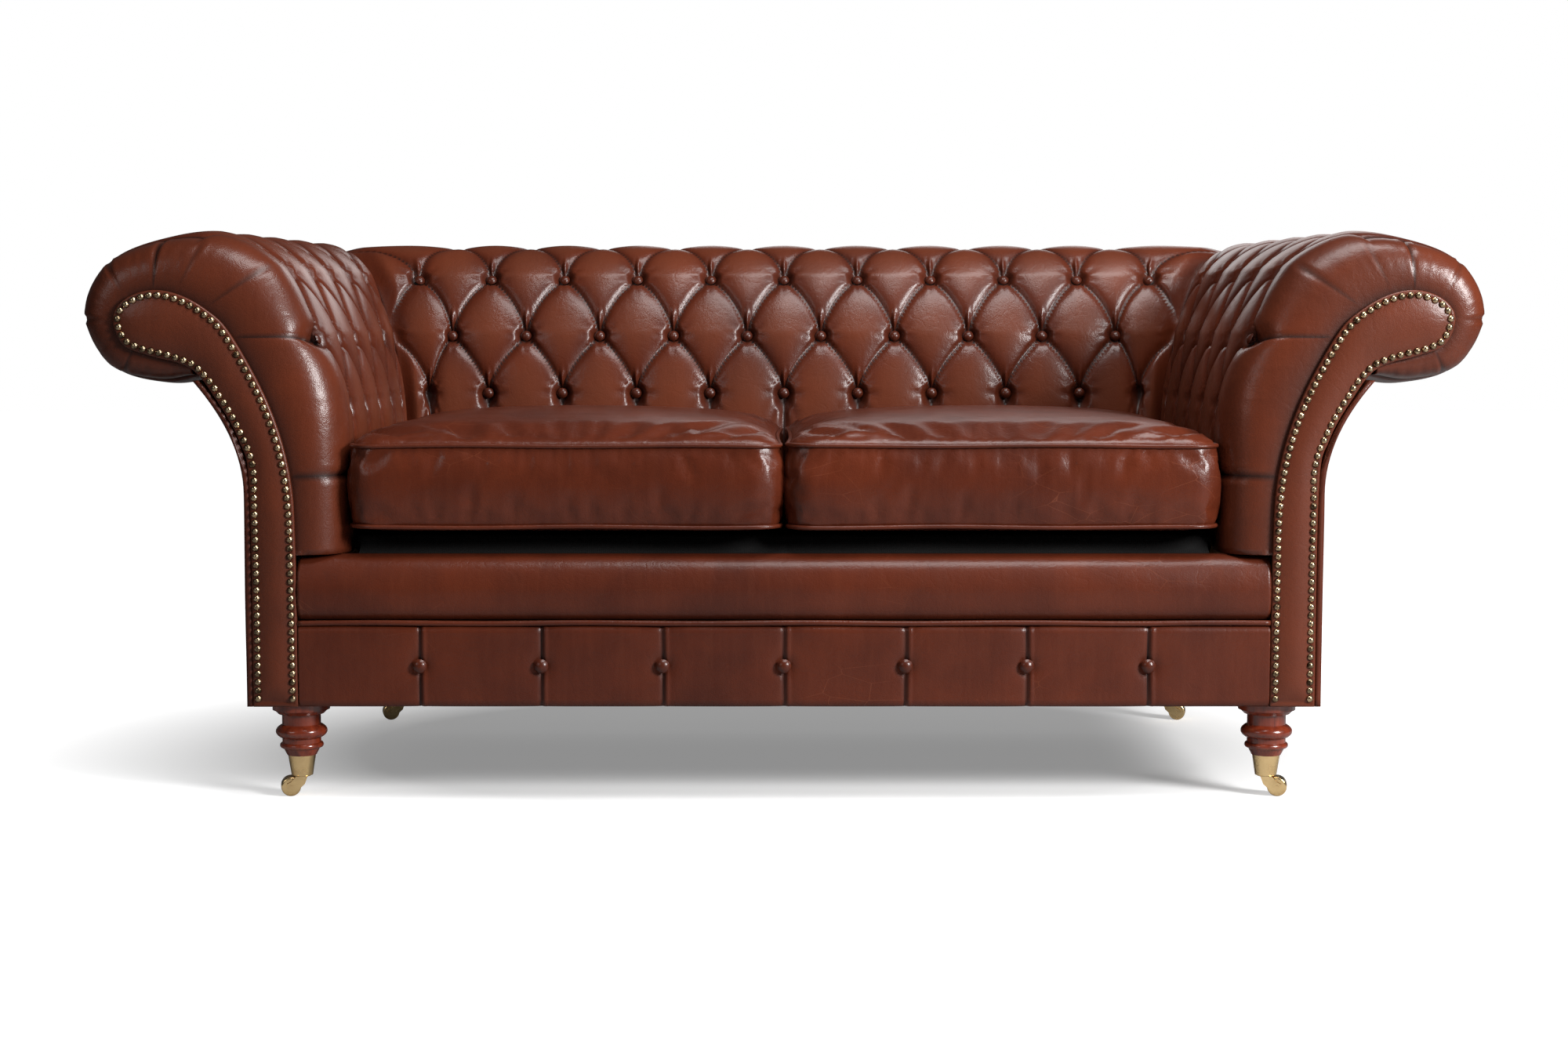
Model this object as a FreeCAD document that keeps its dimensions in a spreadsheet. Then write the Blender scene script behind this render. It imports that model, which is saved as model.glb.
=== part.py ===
import FreeCAD, Part
import math
import os

# Button-back roll-arm sofa with two loose seat cushions, in millimetres.
# Seen from the front, +X runs to the right, +Y to the back and +Z up. Z = 0 is the floor.
# The origin lies on the floor under the middle of the whole sofa.

doc = FreeCAD.newDocument("chesterfield_sofa")
sizes = doc.addObject("Spreadsheet::Sheet", "sizes")
places = doc.addObject("Spreadsheet::Sheet", "places")

DRIVING = (
    # Seat cushions
    ("cushion_width", 606.0),
    ("cushion_depth", 612.0),
    ("cushion_border", 113.0),
    ("cushion_crown", 44.0),
    ("cushion_belly", 15.0),
    ("cushion_corner", 42.0),
    ("cushion_waist", 7.0),
    ("cushion_gap", 4.0),
    ("cushion_setback", 8.0),
    ("cover_thickness", 5.0),
    ("bead_radius", 3.2),
    ("pad_gap", 3.0),
    ("seat_air", 0.4),
    # Levels
    ("leg_height", 75.0),
    ("castor_height", 58.0),
    ("seat_rise", 250.0),
    ("ridge_rise", 661.0),
    ("pad_lift", 12.0),
    # Tufting of the arms and the back
    ("button_pitch", 121.0),
    ("row_pitch", 96.0),
    ("top_row_drop", 48.0),
    ("tuft_depth", 22.0),
    ("pleat_depth", 8.0),
    ("arm_first_button", 70.0),
    ("button_radius", 8.5),
    ("button_height", 7.0),
    ("button_stem", 4.5),
    # Roll of the back and of the rear end of the arms, measured outward from the pad's seat face
    ("back_depth", 290.0),
    ("back_ridge", 122.0),
    # Roll of the arms at the front
    ("arm_spread", 372.0),
    ("arm_ridge", 178.0),
    ("front_round", 55.0),
    # Scroll facings, measured outward from the arm's seat face
    ("facing_inner", 66.0),
    ("facing_outer", 128.0),
    ("facing_tip", 313.0),
    ("facing_thickness", 8.0),
    ("nail_radius", 5.0),
    ("nail_height", 4.6),
    ("nail_pitch", 11.5),
    ("nail_inset", 7.0),
    # Outside panels
    ("outside_offset", 142.5),
    ("outside_thickness", 10.0),
    # Front rail upholstery
    ("rail_panel_height", 113.0),
    ("rail_pleat_pitch", 169.0),
    ("rail_pleat_depth", 5.0),
    ("rail_button_rise", 57.0),
    ("rail_button_radius", 10.0),
    ("rail_piping_radius", 3.9),
    ("lip_bulge", 10.0),
    ("lip_gap", 0.5),
    ("upholstery_thickness", 21.0),
    # Timber frame
    ("rail_height", 200.0),
    ("side_rail_height", 100.0),
    ("rail_thickness", 32.0),
    ("board_thickness", 28.0),
    ("side_rail_thickness", 30.0),
    ("board_inset", 8.0),
    ("block_height", 70.0),
    ("block_width", 82.0),
    ("post_width", 32.0),
    ("post_front", 84.0),
    ("post_back", 132.0),
    ("top_rail_offset", 112.0),
    ("top_rail_width", 96.0),
    ("top_rail_thickness", 38.0),
    ("top_rail_drop", 112.0),
    ("arm_rail_width", 76.0),
    ("arm_rail_offset", 128.0),
    ("arm_rail_inset", 160.0),
    ("tack_rail_height", 40.0),
    ("tack_rail_thickness", 18.0),
    ("tack_rail_lift", 6.0),
    ("arm_tack_offset", 74.0),
    # Seat springing
    ("spring_count", 8.0),
    ("spring_spacing", 145.0),
    ("spring_wire", 3.8),
    ("spring_sweep", 64.0),
    ("spring_bends", 21.0),
    ("clip_length", 26.0),
    ("clip_depth", 16.0),
    ("clip_height", 7.5),
    ("clip_setback", 20.0),
    ("hessian_thickness", 1.5),
    ("cloth_thickness", 1.2),
    ("web_width", 50.0),
    ("web_thickness", 2.0),
    ("web_count", 3.0),
    ("web_pitch", 75.0),
    ("deck_clearance", 6.0),
    ("deck_setback", 14.0),
    ("cloth_margin", 8.0),
    ("thread_gap", 0.3),
    # Legs
    ("front_leg_offset", 71.0),
    ("front_leg_setback", 50.0),
    ("rear_leg_offset", 37.0),
    ("rear_leg_setback", 39.5),
    ("flange_radius", 40.0),
    ("flange_height", 14.0),
    ("bulb_radius", 36.0),
    ("bulb_height", 30.0),
    ("bulb_rise", 34.0),
    ("neck_radius", 27.0),
    ("ring_radius", 30.5),
    ("bolt_radius", 4.0),
    ("bolt_length", 90.0),
    ("bolt_head_cover", 12.0),
    # Castors
    ("cup_top_radius", 19.5),
    ("cup_foot_radius", 15.0),
    ("cup_depth", 29.0),
    ("cup_wall", 1.6),
    ("cup_floor", 3.0),
    ("wheel_radius", 13.75),
    ("wheel_width", 24.0),
    ("wheel_gap", 0.4),
    ("axle_radius", 2.5),
    ("cheek_thickness", 2.6),
    ("castor_trail", 16.0),
    ("castor_turn", 12.0),
    ("swivel_pin_radius", 3.0),
    ("swivel_plate", 1.2),
    ("swivel_gap", 0.3),
    ("fit", 0.06),
)

DERIVED = (
    ("frame_bottom", "=sizes.castor_height + sizes.leg_height"),
    ("arm_face", "=sizes.cushion_gap / 2 + sizes.cushion_width + sizes.pad_gap"),
    ("seat_reach", "=sizes.cushion_setback + sizes.cushion_depth + sizes.pad_gap"),
    ("depth", "=sizes.nail_height + places.seat_reach + sizes.back_depth"),
    ("facing_plane", "=-places.depth / 2 + sizes.nail_height"),
    ("cushion_front", "=places.facing_plane + sizes.cushion_setback"),
    ("back_face", "=places.cushion_front + sizes.cushion_depth + sizes.pad_gap"),
    ("board_front", "=places.facing_plane + sizes.facing_thickness"),
    ("board_back", "=places.board_front + sizes.board_thickness"),
    ("rail_front", "=places.facing_plane + sizes.upholstery_thickness"),
    ("rail_back", "=places.rail_front + sizes.rail_thickness"),
    ("rail_top", "=places.frame_bottom + sizes.rail_height"),
    ("seat_level", "=places.frame_bottom + sizes.seat_rise"),
    ("deck_top", "=places.seat_level - sizes.cushion_belly - sizes.seat_air"),
    ("pad_floor", "=places.rail_top + sizes.pad_lift"),
    ("ridge", "=places.frame_bottom + sizes.ridge_rise"),
    ("top_rail_top", "=places.ridge - sizes.top_rail_drop"),
    ("top_rail_bottom", "=places.top_rail_top - sizes.top_rail_thickness"),
    ("lip_bottom", "=places.frame_bottom + sizes.rail_panel_height + 2 * sizes.rail_piping_radius"),
    ("front_leg_x", "=places.arm_face + sizes.front_leg_offset"),
    ("front_leg_y", "=places.facing_plane + sizes.front_leg_setback"),
    ("rear_leg_x", "=places.arm_face + sizes.rear_leg_offset"),
    ("rear_leg_y", "=places.back_face + sizes.outside_offset - sizes.rear_leg_setback"),
    ("front_block_x", "=places.front_leg_x - sizes.block_width / 2"),
    ("side_rail_x", "=places.rear_leg_x + sizes.block_width / 2"),
    ("back_rail_y", "=places.back_face + sizes.post_back - sizes.rail_thickness"),
    ("rear_block_y", "=places.back_face + sizes.post_back - sizes.block_width"),
    ("side_rail_front", "=places.board_back + sizes.block_width"),
    ("deck_half", "=places.arm_face - sizes.deck_clearance"),
    ("deck_front", "=places.rail_back + sizes.deck_setback"),
    ("hessian_low", "=places.rail_top + (sizes.clip_height + sizes.spring_wire) / 2 + sizes.thread_gap"),
)

LEG_CORNERS = (
    ("front_left", -1, "front_leg_x", "front_leg_y"),
    ("front_right", 1, "front_leg_x", "front_leg_y"),
    ("rear_left", -1, "rear_leg_x", "rear_leg_y"),
    ("rear_right", 1, "rear_leg_x", "rear_leg_y"),
)
SIDES = (("left", -1), ("right", 1))

for table, rows in ((sizes, DRIVING), (places, DERIVED)):
    for row, (alias, content) in enumerate(rows, 1):
        table.set(f"A{row}", alias)
        table.set(f"B{row}", str(content))
        table.setAlias(f"B{row}", alias)
    doc.recompute()

value = {alias: float(sizes.get(alias)) for alias, content in DRIVING}
value.update({alias: float(places.get(alias)) for alias, content in DERIVED})
kept = []


def vector(x, y, z):
    return FreeCAD.Vector(x, y, z)


def bind(piece, bindings):
    for name, expression in bindings:
        piece.setExpression(name, expression)


def helper(kind, name, *bindings):
    """A primitive or a boolean that a sub-part is made from."""
    piece = doc.addObject(kind, name)
    bind(piece, bindings)
    return piece


def keep(piece, label):
    """Marks a document object as one sub-part of the sofa."""
    piece.Label = label
    kept.append(piece)
    return piece


def keep_shape(label, shape, placement=None):
    """A sub-part whose shape is worked out in code from the sheets' values."""
    piece = doc.addObject("Part::Feature", label)
    piece.Shape = shape
    piece.Placement = placement or FreeCAD.Placement()
    return keep(piece, label)


def board(name, x, y, z, length, width, height):
    """A straight board from the expressions of its low corner and its three sizes."""
    return helper(
        "Part::Box", name,
        ("Length", length), ("Width", width), ("Height", height),
        ("Placement.Base.x", x), ("Placement.Base.y", y), ("Placement.Base.z", z),
    )


def rod(name, radius, height, x, y, z):
    return helper(
        "Part::Cylinder", name, ("Radius", radius), ("Height", height),
        ("Placement.Base.x", x), ("Placement.Base.y", y), ("Placement.Base.z", z),
    )


def cone(name, low_radius, high_radius, height, x, y, z):
    return helper(
        "Part::Cone", name, ("Radius1", low_radius), ("Radius2", high_radius), ("Height", height),
        ("Placement.Base.x", x), ("Placement.Base.y", y), ("Placement.Base.z", z),
    )


def fuse(name, parts):
    union = doc.addObject("Part::MultiFuse", name)
    union.Shapes = parts
    return union


def cut(name, base, tool):
    result = doc.addObject("Part::Cut", name)
    result.Base = base
    result.Tool = tool
    return result


def mirrored(shape):
    return shape.mirror(vector(0, 0, 0), vector(1, 0, 0))


# Outlines: a run of points joined by arcs that pass smoothly through them.

def halfway(points, index):
    """The point halfway between points index and index + 1 on a smooth curve through all of them."""
    before = points[max(index - 1, 0)]
    after = points[min(index + 2, len(points) - 1)]
    return (points[index] * 9 + points[index + 1] * 9 - before - after) * (1 / 16)


def edge_through(start, middle, end):
    """An arc, or a line where the three points are all but straight."""
    flat_enough = 0.02
    chord = end - start
    if (middle - start).cross(chord).Length / chord.Length < flat_enough:
        return Part.LineSegment(start, end).toShape()
    return Part.Arc(start, middle, end).toShape()


def straight_edges(points):
    return [Part.LineSegment(a, b).toShape() for a, b in zip(points, points[1:])]


def ruled_solid(wires):
    solid = Part.makeLoft(wires, True, True)
    if solid.Volume < 0:
        solid.reverse()
    return solid


# Section of the arm and back pads as (outward offset from the seat face, height).

ROWS = 3


def row_level(row):
    """Height of a button row, counted down from the highest."""
    return value["ridge"] - value["top_row_drop"] - (row - 1) * value["row_pitch"]


def back_profile():
    """Crest line of the back pad, from its foot on the seat up over the roll to the tuck under it."""
    ridge, far, top = value["ridge"], value["back_depth"], value["back_ridge"]
    return [
        (0.0, value["pad_floor"]), (0.0, value["pad_floor"] + 110.0),
        (4.0, row_level(3)), (22.0, row_level(2)), (62.0, row_level(1)), (top, ridge),
        (top + 78.0, ridge - 11.0), (far - 28.0, ridge - 56.0), (far, ridge - 118.0),
        (far - 28.0, ridge - 187.0), (far - 80.0, ridge - 212.0), (far - 125.0, ridge - 203.0),
    ]


def arm_profile():
    """Crest line of the arm pad just behind its rounded front."""
    ridge, far, top = value["ridge"], value["arm_spread"], value["arm_ridge"]
    return [
        (0.0, value["pad_floor"]), (0.0, value["pad_floor"] + 110.0),
        (2.0, row_level(3)), (31.0, row_level(2)), (92.0, row_level(1)), (top, ridge),
        (top + 84.0, ridge - 6.0), (far - 32.0, ridge - 40.0), (far, ridge - 114.0),
        (far - 36.0, ridge - 191.0), (far - 107.0, ridge - 213.0), (far - 166.0, ridge - 205.0),
    ]


def facing_ring():
    """Edge of the scroll facing, point for point beside the arm's crest line."""
    ridge, inner, tip = value["ridge"], value["facing_inner"], value["facing_tip"]
    return [
        (inner + 1.0, value["pad_floor"]), (inner + 7.0, value["pad_floor"] + 110.0),
        (inner + 35.0, ridge - 240.0), (inner + 86.0, ridge - 143.0), (tip - 126.0, ridge - 108.0),
        (tip - 88.0, ridge - 88.0), (tip - 51.0, ridge - 83.0), (tip - 16.0, ridge - 96.0),
        (tip, ridge - 122.0), (tip - 14.0, ridge - 158.0), (tip - 51.0, ridge - 173.0),
        (tip - 106.0, ridge - 190.0),
    ]


def back_lining():
    """Timber side of the back pad, from its tuck round the top rail to its foot."""
    wrap = 7.0
    front, rear = value["top_rail_offset"] - wrap, value["top_rail_offset"] + value["top_rail_width"] + wrap
    low, high = value["top_rail_bottom"], value["top_rail_top"] + 2.0
    post = value["post_front"]
    return [
        (rear - 50.0, low - 12.0), (rear, low - 8.0), (rear, high), (front, high),
        (post - 12.0, low + 6.0), (post - 22.0, row_level(3)), (post - 24.0, value["pad_floor"]),
    ]


def arm_lining():
    """Timber side of an arm pad just behind the front board, point for point beside the scroll."""
    ridge, far, foot = value["ridge"], value["arm_spread"], value["pad_floor"]
    return [
        (far - 112.0, ridge - 182.0), (far - 74.0, ridge - 172.0), (far - 46.0, ridge - 132.0),
        (far - 56.0, ridge - 92.0), (far - 92.0, ridge - 76.0), (far - 150.0, ridge - 80.0),
        (far - 192.0, ridge - 94.0), (far - 240.0, ridge - 150.0), (far - 272.0, ridge - 210.0),
        (70.0, ridge - 330.0), (66.0, foot),
    ]


def with_midpoints(points, count):
    """The same run of points with a point added halfway along each of its first count stretches."""
    longer = []
    for i, (a, b) in enumerate(points):
        longer.append((a, b))
        if i < count:
            c, d = points[i + 1]
            longer.append(((a + c) / 2, (b + d) / 2))
    return longer


def scroll_lining():
    """Timber side of an arm pad where it starts behind the facing, a little inside the facing's edge."""
    ring = facing_ring()
    inside = [(o - out * 3.0, h - up * 3.0) for (o, h), (out, up) in zip(ring, outward_normals(ring))]
    return inside[-2::-1]


def blend(first, second, share):
    """The run of points that lies a share of the way from the first run to the second."""
    rest = 1 - share
    return [(a * rest + c * share, b * rest + d * share) for (a, b), (c, d) in zip(first, second)]


BUTTON_POINTS = {2: 3, 3: 2, 4: 1}
PLEAT_SHARES = {1: 0.7, 5: 1.0, 6: 0.9, 7: 0.6}


def sunk_by(point, on_button_line):
    """How far a point of a section lies below the crest, on a line of odd-row buttons or between two."""
    row = BUTTON_POINTS.get(point)
    if row is not None:
        return value["tuft_depth"] if (row % 2 == 1) == on_button_line else 0.0
    return value["pleat_depth"] * PLEAT_SHARES.get(point, 0.0) if on_button_line else 0.0


def outward_normals(profile):
    """Unit normals of a crest line that point away from the padding, as (offset, height)."""
    normals = []
    for i in range(len(profile)):
        (a, b), (c, d) = profile[max(i - 1, 0)], profile[min(i + 1, len(profile) - 1)]
        length = math.hypot(c - a, d - b)
        normals.append((-(d - b) / length, (c - a) / length))
    return normals


def sunk_profile(profile, on_button_line):
    points = []
    for i, ((offset, height), (out, up)) in enumerate(zip(profile, outward_normals(profile))):
        depth = sunk_by(i, on_button_line)
        points.append((offset - out * depth, height - up * depth))
    return points


def pad_wire(profile, lining, on_button_line, place, tufted=True):
    """One closed section of a pad; place turns an (offset, height) into a point in space."""
    shown = sunk_profile(profile, on_button_line) if tufted else profile
    normals = outward_normals(profile)
    edges = []
    puff = 0.16
    for i in range(len(shown) - 1):
        start, end = place(*shown[i]), place(*shown[i + 1])
        flat = [vector(o, 0, h) for o, h in profile]
        crest = halfway(flat, i)
        depth = 0.0
        if tufted:
            depth = (sunk_by(i, on_button_line) + sunk_by(i + 1, on_button_line)) * (0.5 - puff)
        out, up = (normals[i][0] + normals[i + 1][0]) / 2, (normals[i][1] + normals[i + 1][1]) / 2
        middle = place(crest.x - out * depth, crest.z - up * depth)
        edges.append(edge_through(start, middle, end))
    inside = [place(*p) for p in [shown[-1]] + lining + [shown[0]]]
    return Part.Wire(edges + straight_edges(inside))


def domed_edge(radius, low, height):
    """The arc of a spherical cap, from its rim to its top on the Z axis."""
    sphere = (radius ** 2 + height ** 2) / (2 * height)
    centre = low + height - sphere
    half = math.acos((sphere - height) / sphere) / 2
    middle = vector(sphere * math.sin(half), 0, centre + sphere * math.cos(half))
    return Part.Arc(vector(radius, 0, low), middle, vector(0, 0, low + height)).toShape()


def turned(edges):
    """A solid turned from the closed profile of edges in the XZ plane."""
    return Part.Face(Part.Wire(edges)).revolve(vector(0, 0, 0), vector(0, 0, 1), 360)


def domed_disc(radius, height):
    rim = Part.LineSegment(vector(0, 0, 0), vector(radius, 0, 0)).toShape()
    axis = Part.LineSegment(vector(0, 0, height), vector(0, 0, 0)).toShape()
    return turned([rim, domed_edge(radius, 0, height), axis])


def tuft_button():
    """A covered button on its short stem, standing on the origin along +Z."""
    foot, radius = 1.0, value["button_radius"]
    low = foot + value["button_stem"]
    top = low + value["button_height"]
    stem_radius = 1.5
    rim = low + value["button_height"] * 0.3
    edges = straight_edges([vector(0, 0, foot), vector(stem_radius, 0, foot), vector(stem_radius, 0, low),
                            vector(radius * 0.8, 0, low), vector(radius, 0, rim)])
    axis = Part.LineSegment(vector(0, 0, top), vector(0, 0, foot)).toShape()
    return turned(edges + [domed_edge(radius, rim, top - rim), axis])


def set_on(shape, base, axis):
    """A copy of a shape that stood on the origin, standing on base along axis."""
    copy = shape.copy()
    copy.Placement = FreeCAD.Placement(base, FreeCAD.Rotation(vector(0, 0, 1), axis))
    return copy


def seat_of_button(profile, row, place):
    """Where a button of a row sits and which way it looks, from the unplaced section."""
    index = [point for point, level in BUTTON_POINTS.items() if level == row][0]
    offset, height = profile[index]
    out, up = outward_normals(profile)[index]
    depth = value["tuft_depth"]
    base = place(offset - out * depth, height - up * depth)
    return base, place(offset, height) - base


# The back pad: sections along X, and mitred ends that meet the arms.

def back_pad_and_buttons():
    face_y, arm_face = value["back_face"], value["arm_face"]
    half_pitch = value["button_pitch"] / 2
    straight = int((arm_face - half_pitch / 2) // half_pitch)
    last_x = straight * half_pitch
    top_offset = sunk_profile(back_profile(), True)[4][0]
    skew = half_pitch / (arm_face + top_offset - last_x)

    def at(x):
        return lambda offset, height: vector(x, face_y + offset, height)

    def towards_mitre(side, share):
        def place(offset, height):
            end_x = arm_face + offset
            return vector(side * (last_x + share * (end_x - last_x)), face_y + offset, height)
        return place

    wires = []
    top_line = (straight + 1) % 2 == 0
    profile, lining = back_profile(), back_lining()
    wires.append(pad_wire(profile, lining, False, towards_mitre(-1, 1.0), tufted=False))
    wires.append(pad_wire(profile, lining, top_line, towards_mitre(-1, skew)))
    for step in range(-straight, straight + 1):
        wires.append(pad_wire(profile, lining, step % 2 == 0, at(step * half_pitch)))
    wires.append(pad_wire(profile, lining, top_line, towards_mitre(1, skew)))
    wires.append(pad_wire(profile, lining, False, towards_mitre(1, 1.0), tufted=False))
    pad = ruled_solid(wires)
    keep_shape("back_upholstery", pad)

    buttons = []
    button = tuft_button()
    for row in range(1, ROWS + 1):
        for step in range(-straight, straight + 1):
            if step % 2 == (row + 1) % 2:
                buttons.append(set_on(button, *seat_of_button(profile, row, at(step * half_pitch))))
        if top_line and row == 1:
            for side in (-1, 1):
                end_button = set_on(button, *seat_of_button(profile, row, towards_mitre(side, skew)))
                buttons.append(end_button.cut(pad))
    keep_shape("back_buttons", Part.makeCompound(buttons))


# The arm pads: a rounded front round the scroll, sections along Y, and a mitred end.

def arm_pads_and_buttons():
    arm_face, back_face = value["arm_face"], value["back_face"]
    half_pitch = value["button_pitch"] / 2
    first_y = value["facing_plane"] + value["arm_first_button"]
    front_y = value["board_front"]
    steps = int((back_face - first_y - half_pitch / 2) // half_pitch)
    last_y = first_y + steps * half_pitch
    top_offset = sunk_profile(back_profile(), True)[4][0]
    skew = half_pitch / (back_face + top_offset - last_y)
    rear_lining = with_midpoints(back_lining(), 4)

    def shape_at(y):
        share = (y - first_y) / (back_face - first_y)
        share = min(max(share, 0.0), 1.0)
        return blend(arm_profile(), back_profile(), share), blend(arm_lining(), rear_lining, share)

    def at(y):
        return lambda offset, height: vector(arm_face + offset, y, height)

    def towards_mitre(share):
        def place(offset, height):
            return vector(arm_face + offset, last_y + share * (back_face + offset - last_y), height)
        return place

    wires = []
    first_share = 0.15
    for depth_share in (0.0, 0.1, 0.4):
        swell = math.sqrt(1 - (1 - depth_share) ** 2)
        ring = blend(facing_ring(), arm_profile(), max(swell, first_share))
        lip_y = front_y + depth_share * value["front_round"]
        wires.append(pad_wire(ring, scroll_lining(), False, at(lip_y), tufted=False))
    for step in range(steps + 1):
        y = first_y + step * half_pitch
        profile, lining = shape_at(y)
        wires.append(pad_wire(profile, lining, step % 2 == 1, at(y)))
    near_profile, near_lining = shape_at(last_y + half_pitch)
    wires.append(pad_wire(near_profile, near_lining, (steps + 1) % 2 == 1, towards_mitre(skew)))
    wires.append(pad_wire(back_profile(), rear_lining, False, towards_mitre(1.0), tufted=False))
    right_pad = ruled_solid(wires)
    keep_shape("arm_upholstery_right", right_pad)
    keep_shape("arm_upholstery_left", mirrored(right_pad))

    buttons = []
    button = tuft_button()
    for row in range(1, ROWS + 1):
        for step in range(steps + 1):
            if step % 2 == row % 2:
                y = first_y + step * half_pitch
                buttons.append(set_on(button, *seat_of_button(shape_at(y)[0], row, at(y))))
    if (steps + 1) % 2 == 1:
        end_button = set_on(button, *seat_of_button(near_profile, 1, towards_mitre(skew)))
        buttons.append(end_button.cut(right_pad))
    buttons += [mirrored(one) for one in buttons]
    keep_shape("arm_buttons", Part.makeCompound(buttons))


# Scroll facings with their nails, and the boards behind them.

def facing_points(inset=0.0):
    """Outline of a scroll facing from the foot of its inner edge round to the foot of the outer one."""
    foot, outer = value["frame_bottom"], value["facing_outer"]
    ring = facing_ring()
    stem_back = [(outer + 46.0, ring[-1][1] - 41.0), (outer + 14.0, ring[-1][1] - 100.0),
                 (outer + 1.0, ring[-1][1] - 170.0)]
    outline = [(value["facing_inner"], foot)] + ring + stem_back + [(outer, foot)]
    normals = outward_normals(outline)
    moved = [(o - out * inset, h - up * inset) for (o, h), (out, up) in zip(outline, normals)]
    moved[0] = (outline[0][0] + inset, foot)
    moved[-1] = (outline[-1][0] - inset, foot)
    return moved


def facing_path(inset, y):
    """The open curve up the inner edge, round the scroll and down the outer edge."""
    points = [vector(value["arm_face"] + o, y, h) for o, h in facing_points(inset)]
    spans = range(len(points) - 1)
    return points, [edge_through(points[i], halfway(points, i), points[i + 1]) for i in spans]


def facing_plate(inset, y, thickness):
    points, edges = facing_path(inset, y)
    edges.append(Part.LineSegment(points[-1], points[0]).toShape())
    return Part.Face(Part.Wire(edges)).extrude(vector(0, thickness, 0))


def facings():
    plane, thickness = value["facing_plane"], value["facing_thickness"]
    plate = facing_plate(0.0, plane, thickness)
    board_plate = facing_plate(value["board_inset"], value["board_front"], value["board_thickness"])
    keep_shape("arm_facing_right", plate)
    keep_shape("arm_facing_left", mirrored(plate))
    keep_shape("arm_front_board_right", board_plate)
    keep_shape("arm_front_board_left", mirrored(board_plate))

    points, edges = facing_path(value["nail_inset"], plane)
    path = Part.Wire(edges)
    count = int(path.Length // value["nail_pitch"])
    head = domed_disc(value["nail_radius"], value["nail_height"])
    heads = [set_on(head, point, vector(0, -1, 0)) for point in path.discretize(Number=count)[1:-1]]
    heads += [mirrored(one) for one in heads]
    keep_shape("facing_nails", Part.makeCompound(heads))


# Outside panels of the arms and the back, which curl out at the top to the tuck under the roll.

def outside_section(tuck_offset, place):
    outer, thickness = value["outside_offset"], value["outside_thickness"]
    foot, ridge = value["frame_bottom"], value["ridge"]
    bend, top = ridge - 364.0, ridge - 207.0
    waist = 0.24
    middle = (outer + (tuck_offset - outer) * waist, (bend + top) / 2)
    edges = [
        Part.LineSegment(place(outer, foot), place(outer, bend)).toShape(),
        edge_through(place(outer, bend), place(*middle), place(tuck_offset, top)),
        Part.LineSegment(place(tuck_offset, top), place(tuck_offset - thickness, top)).toShape(),
        edge_through(place(tuck_offset - thickness, top), place(middle[0] - thickness, middle[1]),
                     place(outer - thickness, bend)),
        Part.LineSegment(place(outer - thickness, bend), place(outer - thickness, foot)).toShape(),
        Part.LineSegment(place(outer - thickness, foot), place(outer, foot)).toShape(),
    ]
    return Part.Wire(edges)


def outside_panels():
    arm_face, back_face = value["arm_face"], value["back_face"]
    front_y = value["facing_plane"] + 2.0
    rear_tuck = value["back_depth"] - 126.0
    front_tuck = value["arm_spread"] - 167.0
    arm_wires = [
        outside_section(front_tuck, lambda o, h: vector(arm_face + o, front_y, h)),
        outside_section(rear_tuck, lambda o, h: vector(arm_face + o, back_face + o, h)),
    ]
    arm_panel = ruled_solid(arm_wires)
    keep_shape("outside_arm_right", arm_panel)
    keep_shape("outside_arm_left", mirrored(arm_panel))
    back_wires = []
    for side in (-1, 1):
        back_wires.append(outside_section(
            rear_tuck, lambda o, h: vector(side * (arm_face + o), back_face + o, h)))
    keep_shape("outside_back", ruled_solid(back_wires))


# Front rail upholstery: a pleated panel, a piping and the padded seat lip above it.

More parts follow.
